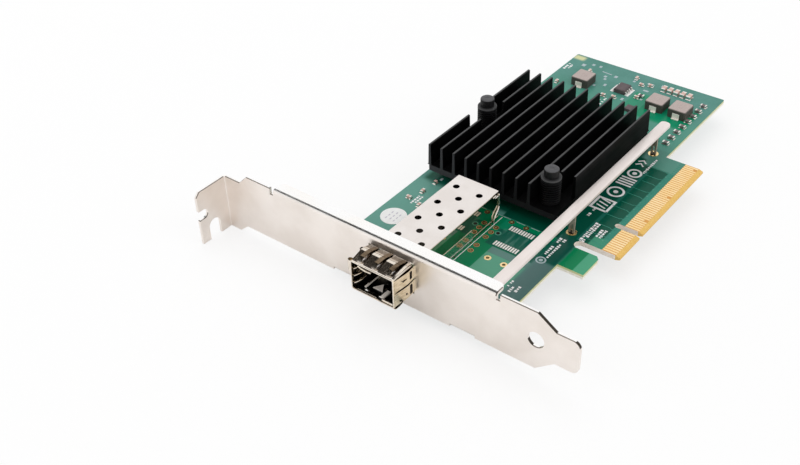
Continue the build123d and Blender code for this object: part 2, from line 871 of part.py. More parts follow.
# Power inductors, each with a terminal folded up its two ends
for number, y in enumerate(inductor_ys, start=1):
    with BuildPart() as inductor:
        with BuildSketch():
            with Locations((inductor_x, y)):
                Rectangle(inductor_length, inductor_width)
                chamfer(vertices(), length=inductor_edge)
        extrude(amount=inductor_height)
        chamfer(edges().group_by(Axis.Z)[-1], length=inductor_edge / 2)
    save(inductor.part, f"inductor_{number}")
    with BuildPart() as terminals:
        for side in (-1, 1):
            face = Align.MAX if side < 0 else Align.MIN
            with Locations((inductor_x + side * inductor_length / 2, y, 0)):
                upright = (terminal_thickness, terminal_width, terminal_height)
                foot = (terminal_foot, terminal_width, terminal_thickness)
                for size in (upright, foot):
                    Box(*size, align=(face, Align.CENTER, Align.MIN))
    save(terminals.part, f"inductor_{number}_terminals")


def face_box(x, y, length, width, height, face_z, up, standoff=0):
    """Box in the open part that stands on the face of the board at face_z, above or below it."""
    seat = Align.MIN if up > 0 else Align.MAX
    with Locations((x, y, face_z + up * standoff)):
        Box(length, width, height, align=(Align.CENTER, Align.CENTER, seat))


def gull_leads(x, y, face_z, up):
    """Leads of an eight lead package in the open part, four on either long side."""
    for side in (-1, 1):
        outward = Vector(0, side, 0)
        for i in range(so_leads_per_side):
            lead_x = x + (i - (so_leads_per_side - 1) / 2) * so_lead_pitch
            plane = Plane(
                origin=(lead_x, y + side * so_width / 2, face_z),
                x_dir=outward,
                z_dir=outward.cross(Vector(0, 0, up)),
            )
            shoulder_z = so_standoff + so_height / 2
            with BuildSketch(plane) as profile:
                with BuildLine():
                    Polyline(
                        (0, shoulder_z),
                        (so_lead_reach * 0.3, shoulder_z),
                        (so_lead_reach * 0.5, 0),
                        (so_lead_reach, 0),
                    )
                    offset(amount=so_lead_thickness, side=Side.LEFT, kind=Kind.INTERSECTION)
                make_face()
            extrude(profile.sketch, amount=so_lead_width / 2, both=True)


# Eight lead packages: the regulator on the component side, the memory on the solder side
for name, x, y, face_z, up in (
    ("regulator_chip", regulator_x, regulator_y, 0, 1),
    ("memory_chip", memory_x, memory_y, board_bottom_z, -1),
):
    with BuildPart() as package:
        face_box(x, y, so_length, so_width, so_height, face_z, up, so_standoff)
        chamfer(edges().group_by(Axis.Z)[-1 if up > 0 else 0], length=so_edge)
    save(package.part, name)
    with BuildPart() as leads:
        gull_leads(x, y, face_z, up)
    save(leads.part, f"{name}_leads")

with BuildPart() as supervisor_chip:
    face_box(supervisor_x, supervisor_y, supervisor_size, supervisor_size, supervisor_height, 0, 1)
save(supervisor_chip.part, "supervisor_chip")

with BuildPart() as crystal_can:
    face_box(crystal_x, crystal_y, *crystal_size, board_bottom_z, -1)
    chamfer(edges().filter_by(Axis.Z), length=crystal_corner)
save(crystal_can.part, "crystal_can")


def chip_parts(name, groups, size, face_z, up):
    """Two-ended chip parts: the bodies as one node and their metal ends as another."""
    length, width, height = size
    end_length = length * end_cap_share
    middle = length - 2 * end_length
    end_shift = (length - end_length) / 2
    with BuildPart() as bodies:
        for places, turned in groups:
            for x, y in places:
                extent = (width, middle) if turned else (middle, width)
                face_box(x, y, *extent, height, face_z, up)
    save(bodies.part, name)
    with BuildPart() as ends:
        for places, turned in groups:
            for x, y in places:
                for shift in (-end_shift, end_shift):
                    if turned:
                        face_box(x, y + shift, width, end_length, height, face_z, up)
                    else:
                        face_box(x + shift, y, end_length, width, height, face_z, up)
    save(ends.part, f"{name}_ends")


rear_places = [
    (rear_capacitor_x, rear_capacitor_first_y - i * rear_capacitor_pitch)
    for i in range(rear_capacitor_count)
]
chip_parts("rear_capacitors", [(rear_places, False)], rear_capacitor_size, 0, 1)
small_groups = [
    ([(power_group_x + x, y) for x, y in power_parts_along_x], False),
    ([(power_group_x + x, y) for x, y in power_parts_along_y], True),
    ([(label_x + x, y) for x, y in port_parts_along_x], False),
    ([(label_x + x, y) for x, y in port_parts_along_y], True),
]
chip_parts("small_capacitors", small_groups, small_capacitor_size, 0, 1)
edge_places = [(edge_row_first_x + i * edge_row_pitch, edge_row_y) for i in range(edge_row_count)]
chip_parts("edge_row_parts", [(edge_places, True)], edge_part_size, 0, 1)
decoupling_places = [
    (
        chip_x + (i - (decoupling_columns - 1) / 2) * decoupling_pitch,
        chip_y + (j - (decoupling_rows - 1) / 2) * decoupling_pitch,
    )
    for i in range(decoupling_columns)
    for j in range(decoupling_rows)
]
chip_parts("decoupling_capacitors", [(decoupling_places, False)], decoupling_size, board_bottom_z, -1)
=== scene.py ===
import bmesh
import bpy
import math
import random
from mathutils import Matrix, Vector
from mathutils.geometry import tessellate_polygon


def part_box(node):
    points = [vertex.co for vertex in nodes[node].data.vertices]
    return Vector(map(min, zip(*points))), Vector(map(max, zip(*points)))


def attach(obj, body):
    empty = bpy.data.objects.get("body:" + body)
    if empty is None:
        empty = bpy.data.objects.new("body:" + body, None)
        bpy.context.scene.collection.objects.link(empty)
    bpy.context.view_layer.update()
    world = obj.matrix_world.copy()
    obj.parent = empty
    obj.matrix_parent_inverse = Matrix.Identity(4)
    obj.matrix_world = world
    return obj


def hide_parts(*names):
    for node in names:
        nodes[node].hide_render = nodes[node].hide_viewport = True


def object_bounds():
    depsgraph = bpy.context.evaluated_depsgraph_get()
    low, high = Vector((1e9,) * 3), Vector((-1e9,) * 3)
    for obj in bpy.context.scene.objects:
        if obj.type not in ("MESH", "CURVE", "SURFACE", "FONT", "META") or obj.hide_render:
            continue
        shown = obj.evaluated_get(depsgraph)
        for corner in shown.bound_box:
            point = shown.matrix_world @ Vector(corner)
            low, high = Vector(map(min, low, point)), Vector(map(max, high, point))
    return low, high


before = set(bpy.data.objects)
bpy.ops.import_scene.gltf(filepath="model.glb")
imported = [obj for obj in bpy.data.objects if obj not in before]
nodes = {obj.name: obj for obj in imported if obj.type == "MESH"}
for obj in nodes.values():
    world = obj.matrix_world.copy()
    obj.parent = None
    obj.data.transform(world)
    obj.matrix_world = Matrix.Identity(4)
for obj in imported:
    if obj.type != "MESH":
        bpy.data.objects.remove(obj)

# Looks for the network interface card, in the CAD model's own frame.
# Lengths are millimetres and become metres where a mesh or a texture is made; the studio is in metres.

MM = 0.001
cad_low, cad_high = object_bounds()
scene = bpy.context.scene
scene.view_settings.view_transform = "Standard"
rng = random.Random(7)


# Places taken from the CAD nodes
def node_box(name):
    """Lowest and highest corner of a CAD node in millimetres."""
    low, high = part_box(name)
    return low / MM, high / MM


def islands(name):
    """Boxes in millimetres of the separate solids in a CAD node, in order of their low corners."""
    cad = nodes[name]
    places = [tuple(round(c / MM, 4) for c in cad.matrix_world @ v.co) for v in cad.data.vertices]
    group_of = {place: {place} for place in places}
    for edge in cad.data.edges:
        kept, joined = (group_of[places[i]] for i in edge.vertices)
        if kept is not joined:
            kept |= joined
            group_of.update(dict.fromkeys(joined, kept))
    groups = {id(group): group for group in group_of.values()}.values()
    boxes = [tuple(Vector([end(c) for c in zip(*group)]) for end in (min, max)) for group in groups]
    return sorted(boxes, key=lambda box: [round(c, 2) for c in box[0]])


def middles(name):
    """Middle in X and Y of every solid in a CAD node."""
    return [((low.x + high.x) / 2, (low.y + high.y) / 2) for low, high in islands(name)]


under = node_box("circuit_board")[0].z
sink_low, sink_high = node_box("heat_sink")
pin_top = node_box("heat_sink_pins")[1].z
bar_low, bar_high = node_box("stiffener_bar")
cage_low, cage_high = node_box("cage_shell")
collar_front = node_box("cage_spring_collar")[0].x
label_low, label_high = node_box("round_label")
contacts_low, contacts_high = node_box("edge_contacts_top")
push_pins = middles("heat_sink_pins")
leg_places = sorted(set((round(x, 2), round(y, 1)) for x, y in middles("bar_legs")))
contact_xs = [x for x, y in middles("edge_contacts_top")]
regulator = middles("regulator_chip")[0]

# Holes of the second port and places of the cage's pins, as in the CAD source
spare_row_y = 34.9
spare_holes = [(x, spare_row_y) for x in (23.7, 26.6, 31.1, 33.7, 36.3)] + [(41.05, 32.7), (41.05, 27.8)]
spare_peg_holes = [(23.7, 29.2), (23.75, 23.95)]
cage_pin_xs = (9.6, 18.6, 26.6, 36.3)

# Underside of the push pins' flange, and the nodes of small parts with tinned ends
pin_flange_z = 12.8
TWO_ENDED = ("rear_capacitors", "small_capacitors", "edge_row_parts", "decoupling_capacitors")


# Camera, fitted to the photograph
camera_data = bpy.data.cameras.new("camera")
camera_data.sensor_width = 36.0
camera_data.lens = 48.82
camera_data.clip_start = 0.01
camera_data.clip_end = 20.0
camera = bpy.data.objects.new("camera", camera_data)
scene.collection.objects.link(camera)
camera_place = Vector((-170.24, -98.363, 188.796)) * MM
forward = Vector((0.612453, 0.499895, -0.612377)).normalized()
right = Vector((0.614126, -0.788653, -0.02959)).normalized()
up = right.cross(forward).normalized()
camera.matrix_world = Matrix((
    (right.x, up.x, -forward.x, camera_place.x),
    (right.y, up.y, -forward.y, camera_place.y),
    (right.z, up.z, -forward.z, camera_place.z),
    (0, 0, 0, 1),
))
scene.camera = camera


# Node materials
def srgb(code):
    """Linear colour of a hex code."""
    parts = [int(code[i:i + 2], 16) / 255 for i in (0, 2, 4)]
    return [c / 12.92 if c <= 0.04045 else ((c + 0.055) / 1.055) ** 2.4 for c in parts] + [1.0]


def empty_tree(owner):
    """The node tree of a material or a world, without its nodes."""
    owner.use_nodes = True
    owner.node_tree.nodes.clear()
    return owner.node_tree


def plug(tree, socket, value):
    """Link a socket to another one, or set its number."""
    if isinstance(value, bpy.types.NodeSocket):
        tree.links.new(value, socket)
    else:
        socket.default_value = value


def add_node(tree, kind, inputs=None, **settings):
    """New shader node with the given settings, its inputs linked or set."""
    made = tree.nodes.new("ShaderNode" + kind)
    for key, value in settings.items():
        setattr(made, key, value)
    for key, value in (inputs or {}).items():
        plug(tree, made.inputs[key], value)
    return made


class Finish:
    """A node material: a principled surface whose colour, roughness and relief come from textures."""

    def __init__(self, name, metallic=0.0, specular=0.5):
        self.material = bpy.data.materials.new(name)
        self.tree = empty_tree(self.material)
        self.surface = self.node("BsdfPrincipled", {"Metallic": metallic, "Specular IOR Level": specular})
        self.node("OutputMaterial", {"Surface": self.surface.outputs["BSDF"]})
        self.place = self.node("TexCoord").outputs["Object"]
        self.axis = dict(zip("XYZ", self.node("SeparateXYZ", {0: self.place}).outputs))

    def node(self, kind, inputs=None, **settings):
        return add_node(self.tree, kind, inputs, **settings)

    def math(self, operation, a, b=0.0):
        return self.node("Math", {0: a, 1: b}, operation=operation).outputs[0]

    def blend(self, a, b, share):
        """Sum of two values, of which the first has the given share."""
        return self.math("ADD", self.math("MULTIPLY", a, share), self.math("MULTIPLY", b, 1 - share))

    def noise(self, size, detail=3.0, roughness=0.55, stretch=(1, 1, 1)):
        """Noise with features of about the given size in millimetres."""
        scale = {0: self.place, 1: [s / (size * MM) for s in stretch]}
        scaled = self.node("VectorMath", scale, operation="MULTIPLY").outputs[0]
        inputs = {"Vector": scaled, "Scale": 1.0, "Detail": detail, "Roughness": roughness}
        return self.node("TexNoise", inputs).outputs["Fac"]

    def spread(self, value, low, high, from_low=0.3, from_high=0.7):
        """The value from a noise, spread between two numbers."""
        inputs = {"Value": value, "From Min": from_low, "From Max": from_high, "To Min": low, "To Max": high}
        return self.node("MapRange", inputs, clamp=True).outputs[0]

    def mix(self, factor, a, b):
        """Colour between two others; 6, 7 and 2 are the colour sockets of the mix node."""
        return self.node("Mix", {0: factor, 6: a, 7: b}, data_type="RGBA").outputs[2]

    def two_tone(self, value, dark, light, low=0.36, high=0.64):
        """Colour between two hex codes, led by a noise."""
        return self.mix(self.spread(value, 0.0, 1.0, low, high), srgb(dark), srgb(light))

    def facing(self, axis, start, full):
        """1 on faces that look along an axis, falling to 0 on those that turn away from it."""
        normal = self.node("NewGeometry").outputs["Normal"]
        along = self.node("SeparateXYZ", {0: normal}).outputs[axis]
        return self.spread(self.math("ABSOLUTE", along), 0.0, 1.0, start, full)

    def step(self, axis, edge, soft, rising=True):
        """Soft step at a place in millimetres along an axis."""
        before, after = (edge - soft) * MM, (edge + soft) * MM
        if not rising:
            before, after = after, before
        inputs = {"Value": self.axis[axis], "From Min": before, "From Max": after}
        return self.node("MapRange", inputs, interpolation_type="SMOOTHSTEP").outputs[0]

    def band(self, axis, low, high, soft):
        """1 between two places along an axis and 0 outside, with soft ends."""
        return self.math("MULTIPLY", self.step(axis, low, soft), self.step(axis, high, soft, False))

    def patch(self, x_low, x_high, y_low, y_high, soft):
        """A soft edged rectangle on the board, 1 inside and 0 outside."""
        return self.math("MULTIPLY", self.band("X", x_low, x_high, soft), self.band("Y", y_low, y_high, soft))

    def finish(self, colour, roughness, height=None, depth=0.0, strength=0.5):
        """Set colour, roughness and a relief from a height between 0 and 1, its depth in millimetres."""
        channels = {"Base Color": colour, "Roughness": roughness}
        if height is not None:
            bump = {"Height": height, "Distance": depth * MM, "Strength": strength}
            channels["Normal"] = self.node("Bump", bump).outputs["Normal"]
        for key, value in channels.items():
            plug(self.tree, self.surface.inputs[key], value)
        return self.material


def metal(
    name, light, dark, rough_low, rough_high,
    grain=(1, 1, 1), grain_size=0.5, blotch=6.0, depth=0.002, metallic=1.0,
):
    """Plated or bare metal: fine rolled grain, cloudy tarnish and slightly uneven gloss."""
    made = Finish(name, metallic=metallic)
    cloud = made.noise(blotch, detail=4.0)
    streak = made.noise(grain_size, detail=5.0, stretch=grain)
    colour = made.two_tone(made.blend(cloud, streak, 0.7), dark, light, 0.38, 0.62)
    return made.finish(colour, made.spread(streak, rough_low, rough_high), streak, depth)


def moulded(name, light, dark, rough_low, rough_high, grain_size=0.25, depth=0.01, specular=0.5):
    """Moulded or fired stuff: a fine speckle, soft clouding and a pebbled skin."""
    made = Finish(name, specular=specular)
    speckle = made.noise(grain_size, detail=4.0, roughness=0.7)
    cloud = made.noise(grain_size * 12)
    colour = made.two_tone(made.blend(speckle, cloud, 0.6), dark, light)
    return made.finish(colour, made.spread(speckle, rough_low, rough_high), speckle, depth)


def solder_mask(name, base, deep):
    """Glossy green coat over copper or laminate, with the weave showing faintly through it."""
    made = Finish(name, specular=0.12)
    cloud = made.noise(9.0)
    warp = made.noise(0.35, detail=2.0, stretch=(1, 0.25, 1))
    weft = made.noise(0.35, detail=2.0, stretch=(0.25, 1, 1))
    weave = made.blend(warp, weft, 0.5)
    made.tone = made.two_tone(made.blend(cloud, weave, 0.6), deep, base, 0.38, 0.62)
    made.gloss = made.spread(cloud, 0.14, 0.24)
    made.finish(made.tone, made.gloss, weave, 0.003, 0.3)
    return made


# Tones of the board's face: partly the solder mask over the copper below it, partly painted reflection and
# painted shade, as in the broad soft patches that are paler away from the heat sink and darker round it. X
# from and to, Y from and to, softness, hex code
BOARD_REGIONS = [
    (98, 120, 10, 70, 8, "4f9380"),
    (112.5, 125, 15, 33, 0.8, "0c8a63"),
    (116, 126.5, 33, 38.5, 0.5, "2f9070"),
    (44, 104, 18.4, 66.5, 1, "02513d"),
    (39.5, 48, 56, 64.8, 0.8, "0e5a49"),
    (1, 44, 51, 70, 1.5, "649a8d"),
    (1, 42.2, 18.2, 37.6, 0.2, "00774f"),
    (1, 26, 18.2, 31, 0.15, "5a9c82"),
    (26, 28.7, 18.2, 31, 0.15, "5d837b"),
    (28.9, 40.2, 18.2, 33.8, 0.4, "0b5646"),
    (36.8, 41.8, 31.8, 34.6, 0.4, "0d7d5a"),
    (42.3, 56, 18.2, 36.6, 0.3, "024836"),
    (1, 31, 9, 18.3, 1, "557572"),
    (31, 46.5, 12.2, 18.3, 0.8, "0c5043"),
    (28.6, 44.9, 2, 12.2, 0.5, "007d4e"),
    (28.6, 43, 2, 7.7, 0.15, "4c9f7b"),
    (44.6, 92, 5.6, 20, 0.5, "00513f"),
    (45, 86, 12.7, 13.8, 0.25, "20685a"),
    (43.6, 92, 5.6, 7.7, 0.25, "348472"),
    (43.6, 49.5, 5.6, 10.2, 0.3, "3f8f72"),
    (89, 99, -1, 16.5, 0.6, "508a7b"),
]


def board_material():
    """The board itself: mask on its faces in the tones above, bare laminate on its cut edges."""
    made = solder_mask("board_surface", "5a9187", "4c8579")
    tone = made.tone
    for *region, code in BOARD_REGIONS:
        tone = made.mix(made.patch(*region), tone, srgb(code))
    # Streaks of lighter copper between the second port's pads, and a bare patch at the rear corner
    streak = made.spread(made.noise(2.2, stretch=(0.12, 1, 1)), 0.0, 0.5, 0.5, 0.68)
    streaked = made.math("MULTIPLY", streak, made.patch(31.8, 37.4, 19.0, 33.5, 0.6))
    tone = made.mix(streaked, tone, srgb("6f9c90"))
    tone = made.mix(made.patch(134.6, 137.2, 63.9, 68.0, 0.8), tone, srgb("d5d6a4"))
    # Copper coloured gaps between the contacts
    tongue = contacts_low.x - 0.7, contacts_high.x + 0.7
    tone = made.mix(made.patch(*tongue, -0.2, 5.75, 0.05), tone, srgb("dda257"))
    # Cut edges: greenish above and pale below, the pale lower half painted light; pale in the card edge's
    # slots, gold on the bevels
    fibre = made.noise(0.5, detail=4.0, stretch=(1, 1, 5))
    slot_wall, outer_wall, bevel = [
        made.two_tone(fibre, dark, light, 0.35, 0.65)
        for dark, light in (("e6d9cc", "faf3eb"), ("c3c68e", "dcdcb0"), ("e2b55f", "efc878"))
    ]
    # Painted light: the lower half of the outer cut edge is painted near white
    outer_wall = made.mix(made.step("Z", under * 0.45, 0.25, False), outer_wall, srgb("fbf7ec"))
    cut = made.mix(made.patch(40.0, 98.0, -1.0, 13.5, 0.1), outer_wall, slot_wall)
    cut = made.mix(made.patch(*tongue, -0.2, 1.5, 0.05), cut, bevel)
    level = made.facing("Z", 0.955, 0.985)
    dull = [0.6, 0.6, 0.6, 1]
    return made.finish(made.mix(level, cut, tone), made.mix(level, dull, made.gloss))


def cage_material():
    """Bright tinned sheet: pale and slightly dull on top, nearly a mirror on its walls, which are painted a
    darker, warmer tone as painted reflection.
    """
    made = Finish("cage_tin", metallic=1.0)
    lines = made.noise(0.35, detail=5.0, stretch=(0.04, 1, 1))
    cloud = made.noise(7.0, detail=4.0)
    level = made.facing("Z", 0.3, 0.8)
    top = made.two_tone(cloud, "e6dfda", "ede7e3")
    # Painted reflection: the walls in a darker, warmer copy of the tin's tone
    wall = made.two_tone(cloud, "b3a791", "cfc5b1")
    rough = made.math("ADD", made.spread(lines, 0.03, 0.07), made.math("MULTIPLY", level, 0.13))
    return made.finish(made.mix(level, wall, top), rough, cloud, 0.012, 0.25)


def bracket_material():
    """Nickel plated sheet with a satin face; its level flange is painted brighter, a painted highlight."""
    made = Finish("bracket_nickel", metallic=1.0)
    cloud = made.noise(14.0, detail=4.0)
    grain = made.noise(0.5, detail=5.0, stretch=(1, 0.08, 1))
    level = made.facing("Z", 0.6, 0.9)
    face = made.two_tone(cloud, "efe7e0", "f8f1eb", 0.38, 0.62)
    # Painted highlight: the level flange in a brighter copy of the face's tone
    flange = made.two_tone(cloud, "fffdfa", "ffffff", 0.38, 0.62)
    colour = made.mix(level, face, flange)
    satin = made.math("SUBTRACT", 0.17, made.math("MULTIPLY", level, 0.12))
    return made.finish(colour, made.math("ADD", satin, made.spread(grain, 0.16, 0.22)), cloud, 0.006, 0.3)


def collar_material():
    """Spring sheet of the collar: bright above, painted warmer on its sides as painted reflection."""
    made = Finish("collar_sheet", metallic=1.0)
    lines = made.noise(0.25, detail=5.0, stretch=(0.08, 1, 1))
    sideways = made.facing("Y", 0.3, 0.8)
    top = made.two_tone(lines, "d9ccbd", "f6eee2")
    # Painted reflection: the sides in a warmer copy of the sheet's tone
    side = made.two_tone(lines, "dccaa8", "fff3da")
    return made.finish(made.mix(sideways, top, side), made.spread(lines, 0.1, 0.2), lines, 0.004)


def gold_material():
    """Hard gold over copper: warm, with faint polishing marks along Y."""
    made = Finish("edge_gold", metallic=1.0)
    wear = made.noise(0.3, stretch=(1, 0.05, 1))
    cloud = made.noise(6.0)
    colour = made.two_tone(cloud, "fbd99c", "fee3b0")
    return made.finish(colour, made.spread(wear, 0.22, 0.3), wear, 0.001, 0.2)


def inductor_material():
    """Pressed iron powder: pinkish grey top, coarse grain, and sides painted darker as painted shade."""
    made = Finish("pressed_powder", specular=0.25)
    grain = made.noise(0.18, detail=5.0, roughness=0.7)
    top = made.two_tone(grain, "ab9c97", "c5b7b1", 0.35, 0.65)
    # Painted shade: the sides in a dark copy of the powder's tone
    side = made.two_tone(grain, "3c3a36", "5a5751", 0.35, 0.65)
    level = made.facing("Z", 0.6, 0.9)
    return made.finish(made.mix(level, side, top), made.spread(grain, 0.45, 0.65), grain, 0.02, 0.7)


def anodised():
    """Black anodised aluminium: black sides, grey tips, and fronts painted lighter, a painted highlight."""
    made = Finish("sink_black", specular=0.05)
    drawn = made.noise(0.4, detail=4.0, stretch=(0.03, 1, 1))
    cloud = made.noise(5.0)
    body = made.two_tone(cloud, "040404", "0a0a0b", 0.35, 0.65)
    tip = made.two_tone(drawn, "454545", "5b5b5c", 0.35, 0.65)
    at_top = made.step("Z", sink_high.z - 0.12, 0.05)
    is_tip = made.math("MULTIPLY", at_top, made.facing("Z", 0.5, 0.9))
    at_front = made.step("X", sink_low.x + 6.0, 4.0, False)
    is_front = made.math("MULTIPLY", at_front, made.facing("X", 0.5, 0.9))
    # The painted highlight on the fronts is brightest at the sink's high end along Y
    glow = made.math("ADD", 0.25, made.step("Y", sink_high.y - 12.0, 10.0))
    body = made.mix(made.math("MULTIPLY", is_front, glow), body, srgb("414144"))
    return made.finish(made.mix(is_tip, body, tip), made.spread(drawn, 0.36, 0.5), drawn, 0.005)


def pin_material():
    """Black plastic of the push pins, with a grey top and a flange painted paler, a painted highlight on its
    rim.
    """
    made = Finish("pin_black", specular=0.2)
    speckle = made.noise(0.3, detail=4.0, roughness=0.7)
    body = made.two_tone(speckle, "0e0e0f", "1b1b1c")
    top = made.two_tone(speckle, "474749", "5b5b5d")
    is_top = made.math("MULTIPLY", made.step("Z", pin_top - 0.5, 0.2), made.facing("Z", 0.4, 0.9))
    # Painted highlight: the flange's rim painted paler
    is_flange = made.band("Z", pin_flange_z - 0.2, pin_flange_z + 0.6, 0.1)
    body = made.mix(made.math("MULTIPLY", is_flange, 0.45), body, srgb("6a6a6b"))
    return made.finish(made.mix(is_top, body, top), made.spread(speckle, 0.4, 0.55), speckle, 0.008)


# Metals and moulded stuffs have a light and a dark tone, then the least and the most roughness
MATERIALS = {
    "board": board_material(),
    "mask_copper": solder_mask("mask_on_copper", "5a9c88", "478a77").material,
    "mask_trace": solder_mask("mask_on_traces", "3f8f7c", "2e7f6a").material,
    "gold": gold_material(),
    "copper_ring": metal("ring_copper", "dcbd92", "c29a6a", 0.25, 0.4),
    "bracket": bracket_material(),
    "cage": cage_material(),
    "collar": collar_material(),
    "screw": metal("zinc_plate", "bdb9b2", "98938c", 0.25, 0.42),
    "bar": metal("bar_nickel", "f2e9e5", "e8ded9", 0.3, 0.42, (0.05, 1, 1), 0.5, 12.0, metallic=0.25),
    # Painted dark lines for the bracket's rims, the steep ones darker still
    "rim": metal("rim_painted_dark", "8b8178", "665d55", 0.25, 0.35),
    "rim_dark": metal("rim_shaded", "4a443e", "35302b", 0.25, 0.35),
    "leg": metal("leg_steel", "d8cfc2", "a89d8c", 0.5, 0.65, metallic=0.7),
    "terminal": metal("terminal_tin", "fff8f0", "efe6dc", 0.4, 0.55, metallic=0.05),
    # A darker grey copy of the cage's tin for its floor inside: painted shade
    "cage_inner": metal("cage_inside_painted_shade", "6a6b6c", "525457", 0.15, 0.25),
    "ring_centre": metal("ring_brown", "7c3d20", "52260f", 0.4, 0.55, metallic=0.5),
    "hole_dark": moulded("hole_shade", "2a211b", "17120e", 0.5, 0.7, specular=0.1),
    # Darker copies of the collar's sheet for its crests and rises: painted reflection
    "collar_crest": metal("collar_crest_painted_dark", "8d7a64", "5c4d3c", 0.2, 0.35, (1, 0.1, 1)),
    "collar_rise": metal("collar_brushed_painted_dark", "a89c8f", "7f7468", 0.18, 0.3, (0.08, 1, 1), 0.3),
    # Near black: dark steel, darkened further as painted shade
    "spring": metal("spring_wire", "242425", "131314", 0.4, 0.55),
    "tin": metal("tinned", "f6f2ee", "dcd5cd", 0.15, 0.28, (1, 1, 1), 0.35, 2.0, 0.004),
    "lid": metal("lid_nickel", "b9b8b8", "a3a2a1", 0.3, 0.42),
    "sink": anodised(),
    "pin": pin_material(),
    "connector": moulded("connector_black", "1b1b1c", "111112", 0.4, 0.55, specular=0.2),
    "chip": moulded("chip_epoxy", "6a5f61", "524a4c", 0.45, 0.65, 0.12, 0.012, 0.25),
    "laminate": moulded("chip_laminate_green", "1d5a38", "134528", 0.25, 0.4),
    "inductor": inductor_material(),
    "ceramic": moulded("ceramic_tan", "e0c0b5", "c8a093", 0.35, 0.55, specular=0.3),
    "pad_tin": metal("pad_solder", "fbf7f3", "e9e3dd", 0.35, 0.5, (1, 1, 1), 0.35, 2.0, 0.004, 0.2),
    "edge_chip": moulded("edge_ceramic", "7d7674", "625c5b", 0.5, 0.7),
    "pad": moulded("pad_grey", "8a8a90", "74747a", 0.6, 0.8),
    "paper": moulded("label_white", "f6f6f5", "ebeceb", 0.5, 0.7, 0.1, 0.006, 0.3),
    "print": moulded("print_white", "fdfafb", "efeded", 0.5, 0.7, 0.12, 0.004, 0.2),
    "label_ink": moulded("label_grey", "cfccd4", "bdb9c6", 0.5, 0.7, 0.1, 0.004, 0.2),
    "print_faint": moulded("print_lilac", "c2ccd0", "9db0b4", 0.5, 0.7, 0.12, 0.004, 0.2),
}

MATERIAL_NODES = {
    "board": ["circuit_board"],
    "gold": ["edge_contacts_top", "edge_contacts_bottom"],
    "bracket": ["mounting_bracket"],
    "screw": ["bracket_nuts", "bracket_screws"],
    "cage": ["cage_shell"],
    "cage_inner": ["cage_floor"],
    "collar": ["cage_spring_collar"],
    "connector": ["module_connector"],
    "laminate": ["controller_chip"],
    "lid": ["chip_lid", "crystal_can"],
    "pad": ["thermal_pad"],
    "sink": ["heat_sink"],
    "pin": ["heat_sink_pins"],
    "spring": ["heat_sink_springs"],
    "bar": ["stiffener_bar"],
    "leg": ["bar_legs"],
    "paper": ["round_label"],
    "chip": ["regulator_chip", "memory_chip", "supervisor_chip"],
    "pad_tin": ["spare_port_pads", "regulator_chip_leads"],
    "inductor": ["inductor_1", "inductor_2", "inductor_3"],
    "terminal": ["inductor_1_terminals", "inductor_2_terminals", "inductor_3_terminals"],
    "ceramic": ["rear_capacitors", "small_capacitors", "decoupling_capacitors"],
    "edge_chip": ["edge_row_parts"],
    "tin": ["connector_contacts", "memory_chip_leads"] + [name + "_ends" for name in TWO_ENDED],
}
for key, names in MATERIAL_NODES.items():
    for name in names:
        for slot in nodes[name].material_slots:
            slot.material = MATERIALS[key]


# Mesh building
def new_object(name, points, faces, material):
    """Mesh object in the scene, from points in metres."""
    mesh = bpy.data.meshes.new(name)
    mesh.from_pydata(points, [], faces)
    mesh.materials.append(material)
    made = bpy.data.objects.new(name, mesh)
    scene.collection.objects.link(made)
    return made


def with_directions(path):
    """Every point of a path, with the direction in which the path runs there."""
    path = [Vector(p) for p in path]
    last = len(path) - 1
    return [(p, (path[min(k + 1, last)] - path[max(k - 1, 0)]).normalized()) for k, p in enumerate(path)]


